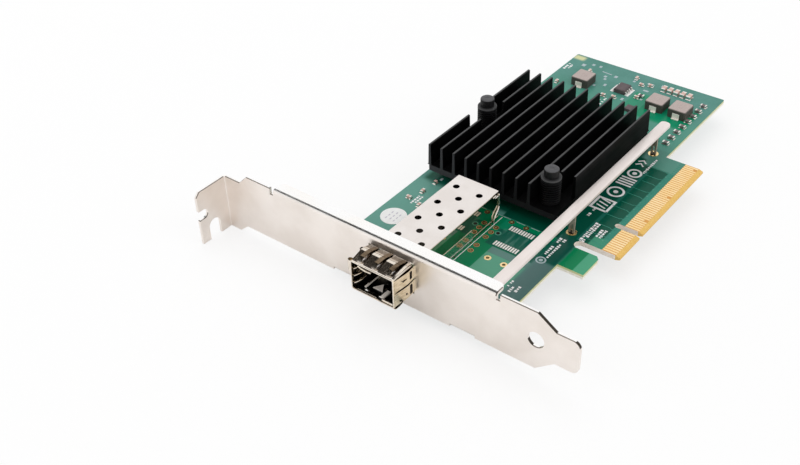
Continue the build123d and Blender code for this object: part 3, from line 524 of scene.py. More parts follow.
class Maker:
    """Collects mesh parts in millimetres and turns them into one piece."""

    def __init__(self):
        self.points = []
        self.faces = []

    def add(self, points, faces):
        start = len(self.points)
        self.points += [tuple(p) for p in points]
        self.faces += [tuple(i + start for i in face) for face in faces]

    def skin(self, rings, closed=True):
        """Surface over rings of equal length, with its two ends capped."""
        size = len(rings[0])
        faces = []
        for row in range(len(rings) - 1):
            for i in range(size):
                a = row * size + i
                b = row * size + (i + 1) % size
                faces.append((a, b, b + size, a + size))
        if closed:
            last = (len(rings) - 1) * size
            faces.append(tuple(reversed(range(size))))
            faces.append(tuple(last + i for i in range(size)))
        self.add([p for ring in rings for p in ring], faces)

    def plate(self, outer, low, high, holes=()):
        """Flat plate with straight sides; outer and holes are lists of (x, y)."""
        loops = [list(outer)] + [list(hole) for hole in holes]
        triangles = tessellate_polygon([[Vector((x, y, 0)) for x, y in loop] for loop in loops])
        count = sum(len(loop) for loop in loops)
        points = [(x, y, z) for z in (low, high) for loop in loops for x, y in loop]
        faces = [face for a, b, c in triangles for face in ((a, b, c), (a + count, b + count, c + count))]
        start = 0
        for loop in loops:
            size = len(loop)
            for i in range(size):
                a, b = start + i, start + (i + 1) % size
                faces.append((a, b, b + count, a + count))
            start += size
        self.add(points, faces)

    def disc(self, x, y, radius, low, high, sides=24):
        self.plate(circle(x, y, radius, sides), low, high)

    def washer(self, x, y, outer, inner, low, high, sides=28, inner_sides=28):
        self.plate(circle(x, y, outer, sides), low, high, [circle(x, y, inner, inner_sides)])

    def lathe(self, x, y, profile, sides):
        """Turned form about a vertical axis; profile is (radius, z) from one end to the other."""
        self.skin([circle(x, y, radius, sides, z=z) for radius, z in profile])

    def tube(self, path, radius, sides=10, flatten=1.0):
        """Wire along a list of points, round or flattened upwards."""
        rings = []
        for p, ahead in with_directions(path):
            side = ahead.cross(Vector((0, 0, 1)))
            side = side.normalized() if side.length > 1e-4 else Vector((1, 0, 0))
            lift = side.cross(ahead) * flatten
            turns = [math.tau * i / sides for i in range(sides)]
            rings.append([p + radius * (side * math.cos(t) + lift * math.sin(t)) for t in turns])
        self.skin(rings)

    def ribbon(self, path, width, low, high):
        """Flat strip of constant width along a list of (x, y), mitred at its corners."""
        path = [Vector(p) for p in path]
        rings = []
        for k, p in enumerate(path):
            before = (p - path[k - 1]).normalized() if k else (path[1] - p).normalized()
            after = (path[k + 1] - p).normalized() if k < len(path) - 1 else before
            along = (before + after).normalized()
            across = Vector((-along.y, along.x)) * (width / 2 / max(0.4, along.dot(before)))
            a, b = p + across, p - across
            rings.append([(a.x, a.y, low), (b.x, b.y, low), (b.x, b.y, high), (a.x, a.y, high)])
        self.skin(rings)

    def sheet(self, profile, low, high, thickness, place):
        """Folded strip of sheet; place turns a profile point and a position across it into space."""
        rings = []
        for (s, h), along in with_directions(profile):
            top_s, top_h = s - along.y * thickness, h + along.x * thickness
            rings.append([
                place(s, low, h), place(s, high, h), place(top_s, high, top_h), place(top_s, low, top_h),
            ])
        self.skin(rings)

    def block(self, low, high, bevel):
        """Box with softened edges."""
        part = bmesh.new()
        bmesh.ops.create_cube(part, size=1.0)
        for vertex in part.verts:
            vertex.co = Vector([(h + l) / 2 + (h - l) * v for l, h, v in zip(low, high, vertex.co)])
        edges = part.edges[:]
        bmesh.ops.bevel(
            part, geom=edges, offset=bevel, segments=2, profile=0.6, affect="EDGES", clamp_overlap=True
        )
        part.verts.index_update()
        self.add([v.co for v in part.verts], [[v.index for v in f.verts] for f in part.faces])
        part.free()

    def piece(self, name, material, slot_name, stands_for=None, sharp_from=35.0):
        """One piece on body root, smooth but for edges sharper than an angle; it may stand for a node."""
        points = [tuple(c * MM for c in p) for p in self.points]
        made = new_object(name, points, self.faces, MATERIALS[material])
        shape = bmesh.new()
        shape.from_mesh(made.data)
        bmesh.ops.recalc_face_normals(shape, faces=shape.faces)
        for face in shape.faces:
            face.smooth = True
        shape.to_mesh(made.data)
        shape.free()
        made.data.set_sharp_from_angle(angle=math.radians(sharp_from))
        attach(made, "root")
        if stands_for:
            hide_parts(stands_for)


def circle(x, y, radius, sides, z=None):
    """Points of a circle, flat or at a height."""
    turns = [math.tau * i / sides for i in range(sides)]
    flat = [(x + radius * math.cos(t), y + radius * math.sin(t)) for t in turns]
    return flat if z is None else [(px, py, z) for px, py in flat]


def quarter(x, y, radius, start, steps):
    """Points of a quarter circle from a start angle in degrees."""
    turns = [math.radians(start + 90 * i / steps) for i in range(steps + 1)]
    return [(x + radius * math.cos(t), y + radius * math.sin(t)) for t in turns]


def rectangle(x_low, x_high, y_low, y_high):
    return [(x_low, y_low), (x_high, y_low), (x_high, y_high), (x_low, y_high)]


def rounded(x_low, x_high, y_low, y_high, radius, steps):
    """Rectangle with rounded corners, or with chamfered ones in one step."""
    x_ends, y_ends = (x_low + radius, x_high - radius), (y_low + radius, y_high - radius)
    corners = ((1, 1, 0), (0, 1, 90), (0, 0, 180), (1, 0, 270))
    return [p for i, j, start in corners for p in quarter(x_ends[i], y_ends[j], radius, start, steps)]


# Push pins: turned head with a soft rim, flange, shaft and split barb, each from radii and heights
PIN_HEAD = [
    (1.95, -2.6), (2.14, -2.5), (2.18, -2.3), (2.18, -0.45), (2.12, -0.18), (1.95, -0.04), (1.7, 0.0),
    (0.75, 0.0), (0.62, -0.1), (0.3, -0.14),
]
PIN_FLANGE = [
    (1.5, 0.0), (2.85, 0.0), (2.97, 0.08), (3.0, 0.2), (3.0, 0.42), (2.92, 0.56), (2.7, 0.62), (1.5, 0.62),
]
PIN_SHAFT = [(1.45, under - 0.03), (1.45, pin_flange_z + 0.2)]
PIN_BARB = [(0.98, -4.27), (1.1, -4.1), (1.88, -1.85), (1.86, -1.7), (1.5, -1.66)]


def push_pin_piece():
    made = Maker()
    half_split = 0.3
    half_turn = [math.pi * i / 14 for i in range(15)]
    for x, y in push_pins:
        made.lathe(x, y, [(radius, pin_top + z) for radius, z in PIN_HEAD], 56)
        made.lathe(x, y, [(radius, pin_flange_z + z) for radius, z in PIN_FLANGE], 56)
        made.lathe(x, y, PIN_SHAFT, 32)
        for side in (-1, 1):
            made.skin([
                [(x + r * math.cos(t), y + side * max(half_split, r * math.sin(t)), z) for t in half_turn]
                for r, z in PIN_BARB
            ])
    made.piece("push_pin_mouldings", "pin", "pin_plastic", "heat_sink_pins")


push_pin_piece()


# Coil springs, wound round and closed at their ends
def spring_piece():
    made = Maker()
    low, high = 5.3, 12.5
    radius, wire = 2.72, 0.3
    turns, steps, closed_turns = 11, 36, 0.75
    for x, y in push_pins:
        path = []
        for i in range(turns * steps + 1):
            turn = math.tau * i / steps
            share = min(1.0, max(0.0, (i / steps - closed_turns) / (turns - 2 * closed_turns)))
            z = low + (high - low) * share
            path.append((x + radius * math.cos(turn), y + radius * math.sin(turn), z))
        made.tube(path, wire, 8)
    made.piece("coil_springs", "spring", "spring_steel", "heat_sink_springs")


spring_piece()


# Heat sink: every fin with its own softened edges, on a base with its two pin holes
def heat_sink_piece():
    made = Maker()
    x_low, x_high = sink_low.x, sink_high.x
    y_low, y_high = sink_low.y, sink_high.y
    top = sink_high.z
    base_height, corner_cut, hole_radius = 1.95, 0.4, 1.6
    fins, fin_root = 11, 1.1
    pin_room_y, front_pin_room, rear_pin_room = 3.35, 4.9, 6.1
    end_bevel, end_inset = 0.07, 0.06
    outer = rounded(x_low, x_high, y_low, y_high, corner_cut, 1)
    holes = [circle(x, y, hole_radius, 24) for x, y in push_pins]
    made.plate(outer, sink_low.z, sink_low.z + base_height, holes)
    front_pin, rear_pin = sorted(push_pins)
    pitch = (y_high - y_low - fin_root) / (fins - 1)
    # One side of a fin: distance from its middle, and height
    section = [(-0.85, 4.9), (-0.62, 5.05), (-0.55, 5.35), (-0.375, top - 0.15), (-0.25, top)]
    section += [(-dy, z) for dy, z in reversed(section)]
    for i in range(fins):
        y = y_high - fin_root / 2 - i * pitch
        spans = [(x_low, x_high)]
        if y > rear_pin[1] - pin_room_y:
            spans = [(x_low, rear_pin[0] - rear_pin_room), (rear_pin[0] + rear_pin_room, x_high)]
        if y < front_pin[1] + pin_room_y:
            spans = [(front_pin[0] + front_pin_room, x_high)]
        for start, end in spans:
            ends = [(start, end_inset), (start + end_bevel, 0.0), (end - end_bevel, 0.0), (end, end_inset)]
            made.skin([
                [
                    (x, y + dy - math.copysign(inset, dy), z - (inset if z > top - 0.2 else 0))
                    for dy, z in section
                ]
                for x, inset in ends
            ])
    made.piece("finned_heat_sink", "sink", "sink_aluminium", "heat_sink")


heat_sink_piece()


# Stiffener bar with rolled edges and a rounded far end
def bar_piece():
    made = Maker()
    y_mid = (bar_low.y + bar_high.y) / 2
    half = (bar_high.y - bar_low.y) / 2
    radius = 1.3
    # Heights from below, and how far the outline draws in there
    levels = [
        (bar_low.z, 0.2), (bar_low.z + 0.2, 0.0), (bar_high.z - 0.3, 0.0), (bar_high.z - 0.1, 0.08),
        (bar_high.z, 0.28),
    ]
    rings = []
    for z, inset in levels:
        outline = []
        for side, start in ((-1, -90), (1, 0)):
            outline += quarter(bar_high.x - radius, y_mid + side * (half - radius), radius - inset, start, 8)
        outline += [(bar_low.x, y_mid + half - inset), (bar_low.x, y_mid - half + inset)]
        rings.append([(x, y, z) for x, y in outline])
    made.skin(rings)
    made.piece("bar_rolled", "bar", "bar_steel", "stiffener_bar")


bar_piece()


# Sheared rims of the bracket: a painted dark line along each upper edge of its outer faces, painted shade and
# dark reflection
def bracket_rims():
    mesh = nodes["mounting_bracket"].data
    edge_normals = {}
    for face in mesh.polygons:
        for pair in face.edge_keys:
            ends = sorted(tuple(round(c / MM, 3) for c in mesh.vertices[i].co) for i in pair)
            edge_normals.setdefault(tuple(ends), []).append(face.normal.copy())
    level, steep = Maker(), Maker()
    level_depth, steep_depth, proud, reach_down = 0.3, 0.82, 0.02, 0.04
    port_low_y, port_high_y = 34, 54
    box_faces = [(0, 1, 2, 3), (7, 6, 5, 4), (0, 4, 5, 1), (1, 5, 6, 2), (2, 6, 7, 3), (3, 7, 4, 0)]
    for (start, end), normals in edge_normals.items():
        start, end = Vector(start), Vector(end)
        outer = [n for n in normals if n.x < -0.99 or n.y < -0.99]
        by_port = port_low_y < (start.y + end.y) / 2 < port_high_y
        if not outer or by_port or (end - start).length < 0.02:
            continue
        front = outer[0]
        rims = [n for n in normals if n.z > 0.25 and n not in outer and abs(n.dot(front)) < 0.05]
        if not rims:
            continue
        up = rims[0]
        is_steep = up.y < -0.3 and front.x < -0.9
        depth = steep_depth if is_steep else level_depth
        corners = ((proud, -reach_down), (proud, proud), (-depth, proud), (-depth, -reach_down))
        points = [place + front * ahead + up * rise for place in (start, end) for ahead, rise in corners]
        (steep if is_steep else level).add(points, box_faces)
    level.piece("bracket_rims", "rim", "bracket_steel")
    steep.piece("bracket_rims_steep", "rim_dark", "bracket_steel")


bracket_rims()


# Spring collar: lipped ring, fingers with a raised strip at one edge, lugs and a folded foot
def collar_piece():
    made, rises, crests, openings = Maker(), Maker(), Maker(), Maker()
    lip_sheet, leaf_sheet, lug_sheet, stamp_sheet = 0.14, 0.1, 0.12, 0.03
    y_low, y_high = cage_low.y, cage_high.y
    z_low, z_high = 0.3, cage_high.z
    z_mid = (z_low + z_high) / 2
    # The lip goes round the mouth's outline: how far behind the front, grown by how much, corner radius
    lip = [
        (0.36, 0.02, 0.5), (0.36, lip_sheet, 0.62), (0.1, lip_sheet, 0.62), (0.02, lip_sheet * 0.6, 0.58),
        (0.0, -0.02, 0.45), (0.02, -0.24, 0.3), (0.2, -0.28, 0.3), (0.3, -0.2, 0.3), (0.33, 0.0, 0.5),
        (0.36, 0.02, 0.5),
    ]
    rings = []
    for behind, grow, corner in lip:
        outline = rounded(y_low - grow, y_high + grow, z_low - grow, z_high + grow, corner, 4)
        rings.append([(collar_front + behind, y, z) for y, z in outline])
    made.skin(rings, closed=False)

    # Each side of the collar places a point by X, its position across the side and its height off the cage
    def top_side(x, across, height):
        return (x, across, z_high + height)

    def low_side(x, across, height):
        return (x, across, z_low - height)

    def right_side(x, across, height):
        return (x, y_low - height, across)

    def left_side(x, across, height):
        return (x, y_high + height, across)

    # Across the top: wide leaves that rise towards the plate, each with a strip and a slot beside it; the
    # rises, tails and crests are drawn in darker copies of the sheet as painted reflection
    rise = [(-7.55, 0.02), (-7.4, 0.05), (-4.0, 0.9), (-3.8, 0.96)]
    shoulder = [(-3.8, 0.96), (-3.6, 0.98), (-2.35, 0.86), (-2.1, 0.78)]
    tail = [(-2.1, 0.78), (-1.6, 0.6), (0.28, 0.05)]
    ramp = [(-7.45, 0.08), (-7.3, 0.2), (-6.2, 1.0), (-6.0, 1.06)]
    crest = [(-6.0, 1.06), (-5.6, 1.1), (-3.6, 1.12), (-2.2, 0.86), (0.28, 0.08)]
    low_leaf = [(-7.55, 0.02), (-7.4, 0.04), (-4.3, 0.56), (-3.8, 0.6), (-1.9, 0.5), (0.28, 0.2)]
    first_edge = y_high + 0.85
    pitch, leaf_width, strip_width = 4.75, 2.65, 1.3
    for i in range(3):
        left_edge = min(first_edge - i * pitch, y_high - 0.15)
        low_edge = first_edge - i * pitch - leaf_width
        strip_edge = low_edge - strip_width
        rises.sheet(rise, low_edge, left_edge, leaf_sheet, top_side)
        made.sheet(shoulder, low_edge, left_edge, leaf_sheet, top_side)
        rises.sheet(tail, low_edge, left_edge, leaf_sheet, top_side)
        made.sheet(ramp, strip_edge, low_edge, leaf_sheet, top_side)
        crests.sheet(crest, strip_edge, low_edge, leaf_sheet, top_side)
        made.sheet(low_leaf, strip_edge, left_edge - 0.1, leaf_sheet, low_side)
    corner_leaf = [(-7.55, 0.02), (-7.4, 0.05), (-2.6, 0.62), (-1.2, 0.6), (0.28, 0.05)]
    made.sheet(corner_leaf, y_low + 0.05, first_edge - 3 * pitch - 0.05, leaf_sheet, top_side)
    side_leaf = [(-7.75, 0.02), (-7.6, 0.04), (-3.6, 0.5), (-2.9, 0.56), (-1.8, 0.5), (0.28, 0.3)]
    for z_from, z_to in ((z_low + 0.4, z_mid - 0.3), (z_mid + 0.3, z_high - 0.5)):
        for side in (right_side, left_side):
            made.sheet(side_leaf, z_from, z_to, leaf_sheet, side)
    # Openings stamped in the near side's leaves, drawn as thin dark sheets that paint the shade seen through
    # them: X from and to, Z from and to
    for x_from, x_to, z_from, z_to in (
        (-1.9, -1.0, 6.2, 8.6), (-1.9, -0.9, 1.2, 4.2), (-5.0, -2.6, 7.2, 7.5), (-3.6, -2.9, 2.0, 2.6),
        (-5.8, -5.0, 0.9, 1.5),
    ):
        openings.sheet([(x_from, 0.64), (x_to, 0.6)], z_from, z_to, stamp_sheet, right_side)
    # Lugs that grip the wall on the far side, and the folded foot below the near corner
    lug = [(-7.9, 0.0), (-7.85, 0.9), (-7.4, 1.45), (-6.9, 1.4), (-6.6, 0.9), (-6.5, 0.05)]
    rear_lug = [(x + 4.9, height * 0.9) for x, height in lug]
    made.sheet(lug, z_high - 4.2, z_high - 0.4, lug_sheet, left_side)
    # The rear lug in the darker copy of the sheet, painted reflection
    rises.sheet(rear_lug, z_high - 2.6, z_high - 0.1, lug_sheet, left_side)
    foot = [(-8.0, 0.05), (-7.8, 0.35), (-7.2, 0.62), (-6.0, 0.66), (-4.8, 0.5), (-4.4, 0.05)]
    made.sheet(foot, y_low - 0.1, y_low + 3.3, lug_sheet, low_side)
    made.piece("collar_sprung", "collar", "collar_steel", "cage_spring_collar", 20.0)
    rises.piece("collar_leaves", "collar_rise", "collar_steel", sharp_from=20.0)
    crests.piece("collar_crests", "collar_crest", "collar_steel", sharp_from=20.0)
    openings.piece("collar_opening_shades", "hole_dark", "collar_steel")


collar_piece()


# Inside the mouth: curved leaves on the far wall, a raised latch on the floor and a folded edge beside it
def mouth_parts():
    leaves = Maker()
    wall = cage_high.y - 0.28
    leaf_start, leaf_length, leaf_bow, leaf_climb, leaf_radius, steps = -7.7, 6.5, 1.3, 1.7, 0.42, 12
    for z in (2.2, 4.6, 7.0):
        path = []
        for i in range(steps + 1):
            share = i / steps
            bow = 0.15 + leaf_bow * math.sin(math.pi * share) ** 0.8
            path.append((leaf_start + leaf_length * share, wall - bow, z + leaf_climb * share))
        leaves.tube(path, leaf_radius, 8, 0.35)
    leaves.tube([(-7.0, 49.4, 8.3), (-6.7, 48.4, 7.5), (-6.3, 47.2, 6.9), (-5.9, 46.0, 6.6)], 0.75, 10, 0.6)
    leaves.block((-7.95, 37.5, 0.3), (-7.5, 41.2, 1.3), 0.15)
    leaves.block((-7.9, 43.0, 0.3), (-7.6, 49.5, 0.75), 0.12)
    leaves.piece("mouth_leaves", "collar", "collar_steel")
    latch = Maker()
    floor_top = 0.56
    latch.plate([(-5.1, 43.2), (-2.55, 44.7), (-5.1, 46.4)], floor_top, 0.8)
    latch.block((-7.2, 41.2, floor_top), (-3.9, 42.4, 0.95), 0.15)
    # A pale block that paints a highlight on the floor, and a thin pale strip that carries it along the
    # floor's edge
    latch.block((-6.2, 47.8, floor_top), (-4.4, 48.4, 0.95), 0.12)
    latch.block((-4.4, 47.9, floor_top), (0.6, 48.2, 0.85), 0.1)
    # Three bright bars above the latch
    for k in range(3):
        x = -3.2 + 0.8 * k
        latch.block((x, 44.9, 5.6), (x + 0.25, 46.6, 5.9), 0.08)
    latch.piece("mouth_latch", "terminal", "cage_steel")


mouth_parts()


# Lapped sheet along the near wall of the cage, its folded tab and the curved leg at its rear corner
def cage_details():
    made = Maker()
    wall = cage_low.y
    lap = [(8.6, 0.0), (8.6, 3.6), (9.0, 3.9), (27.0, 3.9), (27.4, 3.6), (27.4, 0.0)]
    made.skin([[(x, wall - 0.02 - out, z + 0.02) for x, z in lap] for out in (0.0, 0.1)])
    for x, z in ((38.3, 8.9), (39.4, 8.2)):
        bend = [(x - 1.0, wall - 0.1, z), (x, wall - 0.32, z + 0.35), (x + 0.9, wall - 0.1, z - 0.2)]
        made.tube(bend, 0.16, 8)
    # The leg: X, distance out from the wall, Z
    leg = [
        (40.25, 0.1, 8.6), (40.3, 0.16, 6.4), (40.25, 0.25, 4.6), (39.6, 0.35, 3.7), (38.7, 0.42, 2.9),
        (37.9, 0.42, 1.9), (37.6, 0.35, 0.9), (37.6, 0.25, 0.05),
    ]
    made.tube([(x, wall - out, z) for x, out, z in leg], 0.26, 10)
    made.piece("cage_folds", "tin", "cage_steel")


cage_details()


# Gold rings round the bar's legs with painted shade inside, and the legs' prongs, real in form and painted
# pale as a highlight
def leg_rings():
    rings, shade, prongs = Maker(), Maker(), Maker()
    ring_radius, hole_radius, prong_radius = 1.6, 0.95, 0.17
    prong = [(0.35, 0.6, 0.1), (0.42, 0.72, 0.8), (0.36, 0.6, 1.7)]
    for x, y in leg_places:
        for z, sign in ((0.0, 1), (under, -1)):
            rings.washer(x, y, ring_radius, hole_radius, *sorted((z, z + sign * 0.035)), 40, 24)
            shade.disc(x, y, hole_radius + 0.03, *sorted((z, z + sign * 0.02)), 32)
        for side in (-1, 1):
            prongs.tube([(x + ahead, y + side * out, z) for ahead, out, z in prong], prong_radius, 8)
    rings.piece("leg_rings_gold", "gold", "gold_plate")
    shade.piece("leg_ring_centres", "hole_dark", "board_laminate")
    prongs.piece("leg_prongs", "terminal", "tin_plate")


leg_rings()


# Rings of the second port's holes and the cage's pin joints
def hole_rings():
    copper, centres, gold = Maker(), Maker(), Maker()
    shade, rim, joints = Maker(), Maker(), Maker()
    ring_height = 0.03
    # Outer and inner radii
    hole_ring, hole_centre, peg_ring, peg_centre = (0.86, 0.68), (0.69, 0.42), (1.03, 0.5), (0.52, 0.36)
    for z in (0.0, under - ring_height):
        for x, y in spare_holes:
            copper.washer(x, y, *hole_ring, z, z + ring_height)
            centres.washer(x, y, *hole_centre, z, z + 0.025, 28, 6)
        for x, y in spare_peg_holes:
            gold.washer(x, y, *peg_ring, z, z + ring_height, 28, 20)
            centres.washer(x, y, *peg_centre, z, z + 0.02, 20, 6)
    bare_x, bare_y = 34.5, 33.0
    shade.disc(bare_x, bare_y, 0.62, 0.0, 0.02)
    rim.washer(bare_x, bare_y, 0.95, 0.6, 0.0, 0.025, 28, 24)
    joint = [(0.3, under - 0.95), (0.5, under - 0.6), (0.8, under - 0.08), (0.95, under)]
    for x in cage_pin_xs:
        for y in (cage_low.y + 0.125, cage_high.y - 0.125):
            joints.lathe(x, y, joint, 20)
    copper.piece("port_hole_rings", "copper_ring", "gold_plate")
    centres.piece("port_hole_centres", "ring_centre", "gold_plate")
    gold.piece("peg_hole_rings", "gold", "gold_plate")
    shade.piece("bare_hole_shade", "hole_dark", "board_laminate")
    rim.piece("bare_hole_rim", "mask_copper", "board_laminate")
    joints.piece("cage_pin_joints", "tin", "tin_plate")


hole_rings()


# Traces from the gold contacts, under the solder mask: a stub each, a long bent one or a via at some
def contact_traces():
    stubs, vias = Maker(), Maker()
    top_y = contacts_high.y
    trace_height, stub_width, trace_width, via_radius = 0.02, 0.35, 0.22, 0.26
    last_long_x, bend_from, bend_to, side_step, first_end, end_step = 90, 8.2, 8.7, 0.35, 12.4, 0.6
    for number, x in enumerate(contact_xs):
        stubs.ribbon([(x, top_y - 0.05), (x, top_y + 1.5)], stub_width, 0.0, trace_height)
        if number % 4 == 1 and x < last_long_x:
            side_x = x + side_step * (1 if number % 8 == 1 else -1)
            end_y = first_end + end_step * (number % 3)
            path = [(x, top_y + 1.4), (x, bend_from), (side_x, bend_to), (side_x, end_y)]
            stubs.ribbon(path, trace_width, 0.0, trace_height)
        elif number % 4 == 3:
            vias.disc(x, top_y + 1.9, via_radius, 0.0, 0.025, 14)
    stubs.piece("contact_traces", "mask_trace", "board_laminate")
    vias.piece("contact_vias", "mask_copper", "board_laminate")


contact_traces()


# White print: outlines, ticks and plain marks that stand for no text
PRINT_TOP = 0.018
# Lines, each a width and a path: the second port's outline, a framed hatch, a ladder of bars, two chevrons
WHITE_LINES = [
    (0.2, [(17.3, 36.2), (41.6, 36.2)]),
    (0.75, [(61.0, 13.4), (66.6, 13.4), (66.6, 18.6), (61.0, 18.6), (61.0, 13.4)]),
]
WHITE_LINES += [(0.5, [(62.2 + x, 14.4), (63.0 + x, 17.6)]) for x in (0.0, 1.6, 3.2)]
WHITE_LINES += [(0.65, [(76.0 + x, 13.5), (76.0 + x, 18.5)]) for x in (0.0, 1.25, 2.5, 3.75)]
WHITE_LINES += [(0.5, [(87.6 + x, 15.6), (88.8 + x, 16.9), (87.6 + x, 18.2)]) for x in (0.0, 1.9)]
# The broken rear side of the port's outline, and a dash near the board's rear edge
FAINT_LINES = [(0.14, [(42.0, y), (42.0, end)]) for y, end in ((38.6, 33.7), (31.7, 28.8), (26.8, 24.0))]
FAINT_LINES += [(0.4, [(131.8, 54.6), (131.5, 50.8)])]
# Blocks of ticks: X from and to, Y from and to, rows, share that is printed
TICK_BLOCKS = [
    (31.6, 36.2, 60.4, 62.4, 2, 0.7), (33.2, 43.4, 15.4, 18, 2, 0.75), (15.2, 19.6, 14.6, 18.9, 3, 0.6),
    (45, 54.8, 11.4, 13.2, 2, 0.85), (49.2, 53.6, 8.3, 10.4, 2, 0.9), (84.5, 93.5, 13.2, 14.6, 1, 0.95),
    (56.5, 60.8, 15.9, 17.6, 1, 0.8), (126, 131.8, 65, 67.4, 2, 0.6), (112, 117.4, 44, 47, 2, 0.6),
    (103.6, 111, 57, 60, 2, 0.6),
]
# Pale spots: X, Y, length along X, width along Y
PALE_SPOTS = [
    (132.1, 62.2, 1.6, 1.3), (134.1, 59.4, 1.2, 1), (134.3, 56.7, 1.3, 0.9), (129.3, 52.1, 1.2, 1),
    (127.7, 51.4, 1, 0.9), (131.1, 49, 1.4, 1.1), (132, 42.4, 1, 0.9), (134.5, 32.9, 1.1, 0.9),
    (122, 52.4, 1, 0.8), (124.2, 49.4, 1.4, 0.9), (119.3, 40.2, 1.5, 0.9), (122.6, 34.9, 0.9, 0.8),
    (44.7, 62, 0.9, 0.8), (46.6, 61.6, 1.3, 0.8), (123.1, 37, 0.9, 0.8), (128.5, 36.2, 0.9, 1.9),
    (133.3, 36.8, 0.9, 2.4), (112.3, 62, 1.4, 0.9), (109.5, 63.5, 1.4, 0.9),
]


def print_marks():
    white, faint, label = Maker(), Maker(), Maker()

    def bar(target, x, y, length, width):
        box = rectangle(x - length / 2, x + length / 2, y - width / 2, y + width / 2)
        target.plate(box, 0.0, PRINT_TOP)

    for target, lines in ((white, WHITE_LINES), (faint, FAINT_LINES)):
        for width, path in lines:
            target.ribbon(path, width, 0.0, PRINT_TOP)
    # Bars along the regulator's two rows of leads
    x, y = regulator
    for offset in (-2.75, 2.75):
        bar(white, x, y + offset, 5.0, 1.3)
    tick_gap = 0.3
    for x_low, x_high, y_low, y_high, rows, share in TICK_BLOCKS:
        for row in range(rows):
            y = y_low + (y_high - y_low) * (row + 0.5) / rows
            x = x_low
            while x < x_high - 0.5:
                width = rng.choice((0.4, 0.6, 0.8))
                if rng.random() < share:
                    tall = rng.choice((0.3, 0.42))
                    white.plate(rectangle(x, x + width, y - tall, y + tall), 0.0, PRINT_TOP)
                x += width + tick_gap
    for spot in PALE_SPOTS:
        bar(faint, *spot)
    # Two rings between the bar and the contacts, and a round mark by the bracket
    for target, x, y, outer, inner, dot, sides, dot_sides in (
        (white, 71.4, 16.0, 2.7, 2.0, 0.75, 40, 24),
        (white, 83.0, 16.0, 2.3, 1.6, 0.75, 40, 24),
        (faint, 31.4, 16.9, 1.5, 1.05, 0.6, 32, 20),
    ):
        target.washer(x, y, outer, inner, 0.0, PRINT_TOP, sides, sides)
        target.disc(x, y, dot, 0.0, PRINT_TOP, dot_sides)
    # A few faint plain strokes on the label, the middle row a little to the rear
    stroke_length, stroke_width, step_x, step_y, shift = 0.9, 0.35, 1.5, 1.4, 0.3
    first_x, first_y = (label_low.x + label_high.x) / 2 - 2.2, (label_low.y + label_high.y) / 2 - 1.6
    for row in range(3):
        for column in range(3):
            x, y = first_x + column * step_x + shift * (row % 2), first_y + row * step_y
            stroke = rectangle(x, x + stroke_length, y, y + stroke_width)
            label.plate(stroke, label_high.z, label_high.z + 0.012)
    white.piece("print_marks_white", "print", "board_laminate")
    faint.piece("print_marks_faint", "print_faint", "board_laminate")
    label.piece("label_strokes", "label_ink", "label_paper")


print_marks()


# Solder fillets under the small parts, a small dark part beside the middle inductor, rings on the inductors
def part_details():
    solder, body, ends, rings = Maker(), Maker(), Maker(), Maker()
    reach_x, reach_y, fillet_height, knee_height = 0.2, 0.15, 0.3, 0.1
    for name in TWO_ENDED:
        base, sign = (under, -1) if name == "decoupling_capacitors" else (0.0, 1)
        for low, high in islands(name + "_ends"):
            foot = rectangle(low.x - reach_x, high.x + reach_x, low.y - reach_y, high.y + reach_y)
            crown = rectangle(low.x, high.x, low.y, high.y)
            knee = [((x + cx) / 2, (y + cy) / 2) for (x, y), (cx, cy) in zip(foot, crown)]
            levels = ((foot, 0.0), (knee, knee_height), (crown, fillet_height))
            solder.skin([[(x, y, base + sign * rise) for x, y in outline] for outline, rise in levels])
    body.block((123.5, 35.2, 0.0), (124.7, 36.2, 0.8), 0.1)
    for low_y, high_y in ((34.7, 35.22), (36.18, 36.7)):
        ends.block((123.45, low_y, 0.0), (124.75, high_y, 0.85), 0.1)
    for number in (1, 2, 3):
        x, y = middles(f"inductor_{number}")[0]
        top = node_box(f"inductor_{number}")[1].z
        rings.washer(x, y, 1.0, 0.7, top, top + 0.012)
    solder.piece("part_solder", "tin", "tin_plate")
    body.piece("small_dark_part", "chip", "chip_plastic")
    ends.piece("small_dark_part_ends", "tin", "tin_plate")
    rings.piece("inductor_rings", "inductor", "inductor_core")


part_details()


# Studio, in metres: floor, dark flag, world and lamps
def floor_piece():
    """Pale floor that takes the card's shadow and glows a little for the camera, so that it ends white."""
    pale = (0.985, 0.985, 0.985, 1)
    glow_share, reach, z = 0.7, 4.0, cad_low.z - 0.05 * MM
    material = bpy.data.materials.new("floor_white")
    tree = empty_tree(material)
    diffuse = add_node(tree, "BsdfDiffuse", {"Color": pale}).outputs[0]
    glow = add_node(tree, "Emission", {"Strength": 1.0}).outputs[0]
    seen = add_node(tree, "LightPath").outputs["Is Camera Ray"]
    share = add_node(tree, "Math", {0: seen, 1: glow_share}, operation="MULTIPLY").outputs[0]
    blend = add_node(tree, "MixShader", {0: share, 1: diffuse, 2: glow}).outputs[0]
    add_node(tree, "OutputMaterial", {"Surface": blend})
    corners = [(x, y, z) for x, y in rectangle(-reach, reach, -reach, reach)]
    new_object("floor", corners, [(0, 1, 2, 3)], material)


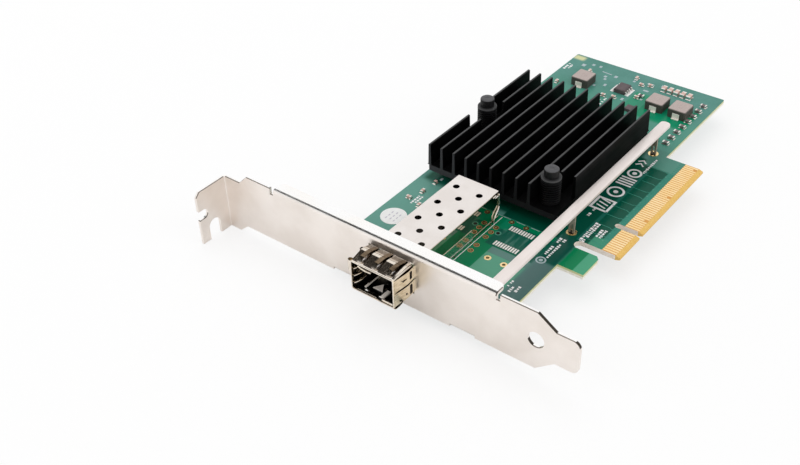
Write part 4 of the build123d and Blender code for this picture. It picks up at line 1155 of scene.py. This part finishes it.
def flag_piece():
    """Dark flag overhead that only reflections see: it gives bent metal its dark line."""
    material = bpy.data.materials.new("flag_black")
    tree = empty_tree(material)
    black = add_node(tree, "Emission", {"Color": (0.02, 0.018, 0.015, 1)}).outputs[0]
    add_node(tree, "OutputMaterial", {"Surface": black})
    steps, radius = 16, 3.0
    azimuth_from, azimuth_span, highest, lowest_from, lowest_drop = 45, 120, 80, 53, 8
    points, faces = [], []
    for i in range(steps + 1):
        for j in range(steps + 1):
            azimuth = math.radians(azimuth_from + azimuth_span * i / steps)
            lowest = lowest_from - lowest_drop * min(1.0, i / steps * 6)
            elevation = math.radians(lowest + (highest - lowest) * j / steps)
            flat = radius * math.cos(elevation)
            points.append((flat * math.cos(azimuth), flat * math.sin(azimuth), radius * math.sin(elevation)))
    for i in range(steps):
        for j in range(steps):
            a = i * (steps + 1) + j
            faces.append((a, a + 1, a + steps + 2, a + steps + 1))
    made = new_object("flag_overhead", points, faces, material)
    for kind in ("camera", "diffuse", "transmission", "volume_scatter", "shadow"):
        setattr(made, f"visible_{kind}", False)


def studio_world():
    """Plain white to the camera and in reflections, softer as a light."""
    scene.world = bpy.data.worlds.new("studio")
    tree = empty_tree(scene.world)
    white = (1, 1, 1, 1)
    light, bright = [
        add_node(tree, "Background", {"Color": white, "Strength": strength}).outputs[0]
        for strength in (0.68, 1.0)
    ]
    rays = add_node(tree, "LightPath").outputs
    seen = rays["Is Camera Ray"]
    for kind in ("Is Glossy Ray", "Is Transmission Ray"):
        seen = add_node(tree, "Math", {0: seen, 1: rays[kind]}, operation="ADD", use_clamp=True).outputs[0]
    blend = add_node(tree, "MixShader", {0: seen, 1: light, 2: bright}).outputs[0]
    add_node(tree, "OutputWorld", {"Surface": blend})


def softbox(name, place, target, size, power):
    """Square lamp that faces its target."""
    data = bpy.data.lights.new(name, "AREA")
    data.shape = "SQUARE"
    data.size = size
    data.energy = power
    lamp = bpy.data.objects.new(name, data)
    scene.collection.objects.link(lamp)
    lamp.location = place
    lamp.rotation_mode = "QUATERNION"
    lamp.rotation_quaternion = (Vector(target) - Vector(place)).to_track_quat("-Z", "Y")
    lamp.visible_glossy = False
    lamp.visible_camera = False


floor_piece()
flag_piece()
studio_world()
card_middle = (0.07, 0.05, 0.0)
softbox("lamp_top", (0.25, 0.35, 1.0), card_middle, 1.1, 3.4)
softbox("lamp_left", (-0.9, 0.5, 0.7), card_middle, 0.8, 1.5)
softbox("lamp_near", (0.25, -1.0, 0.75), card_middle, 0.9, 2.0)
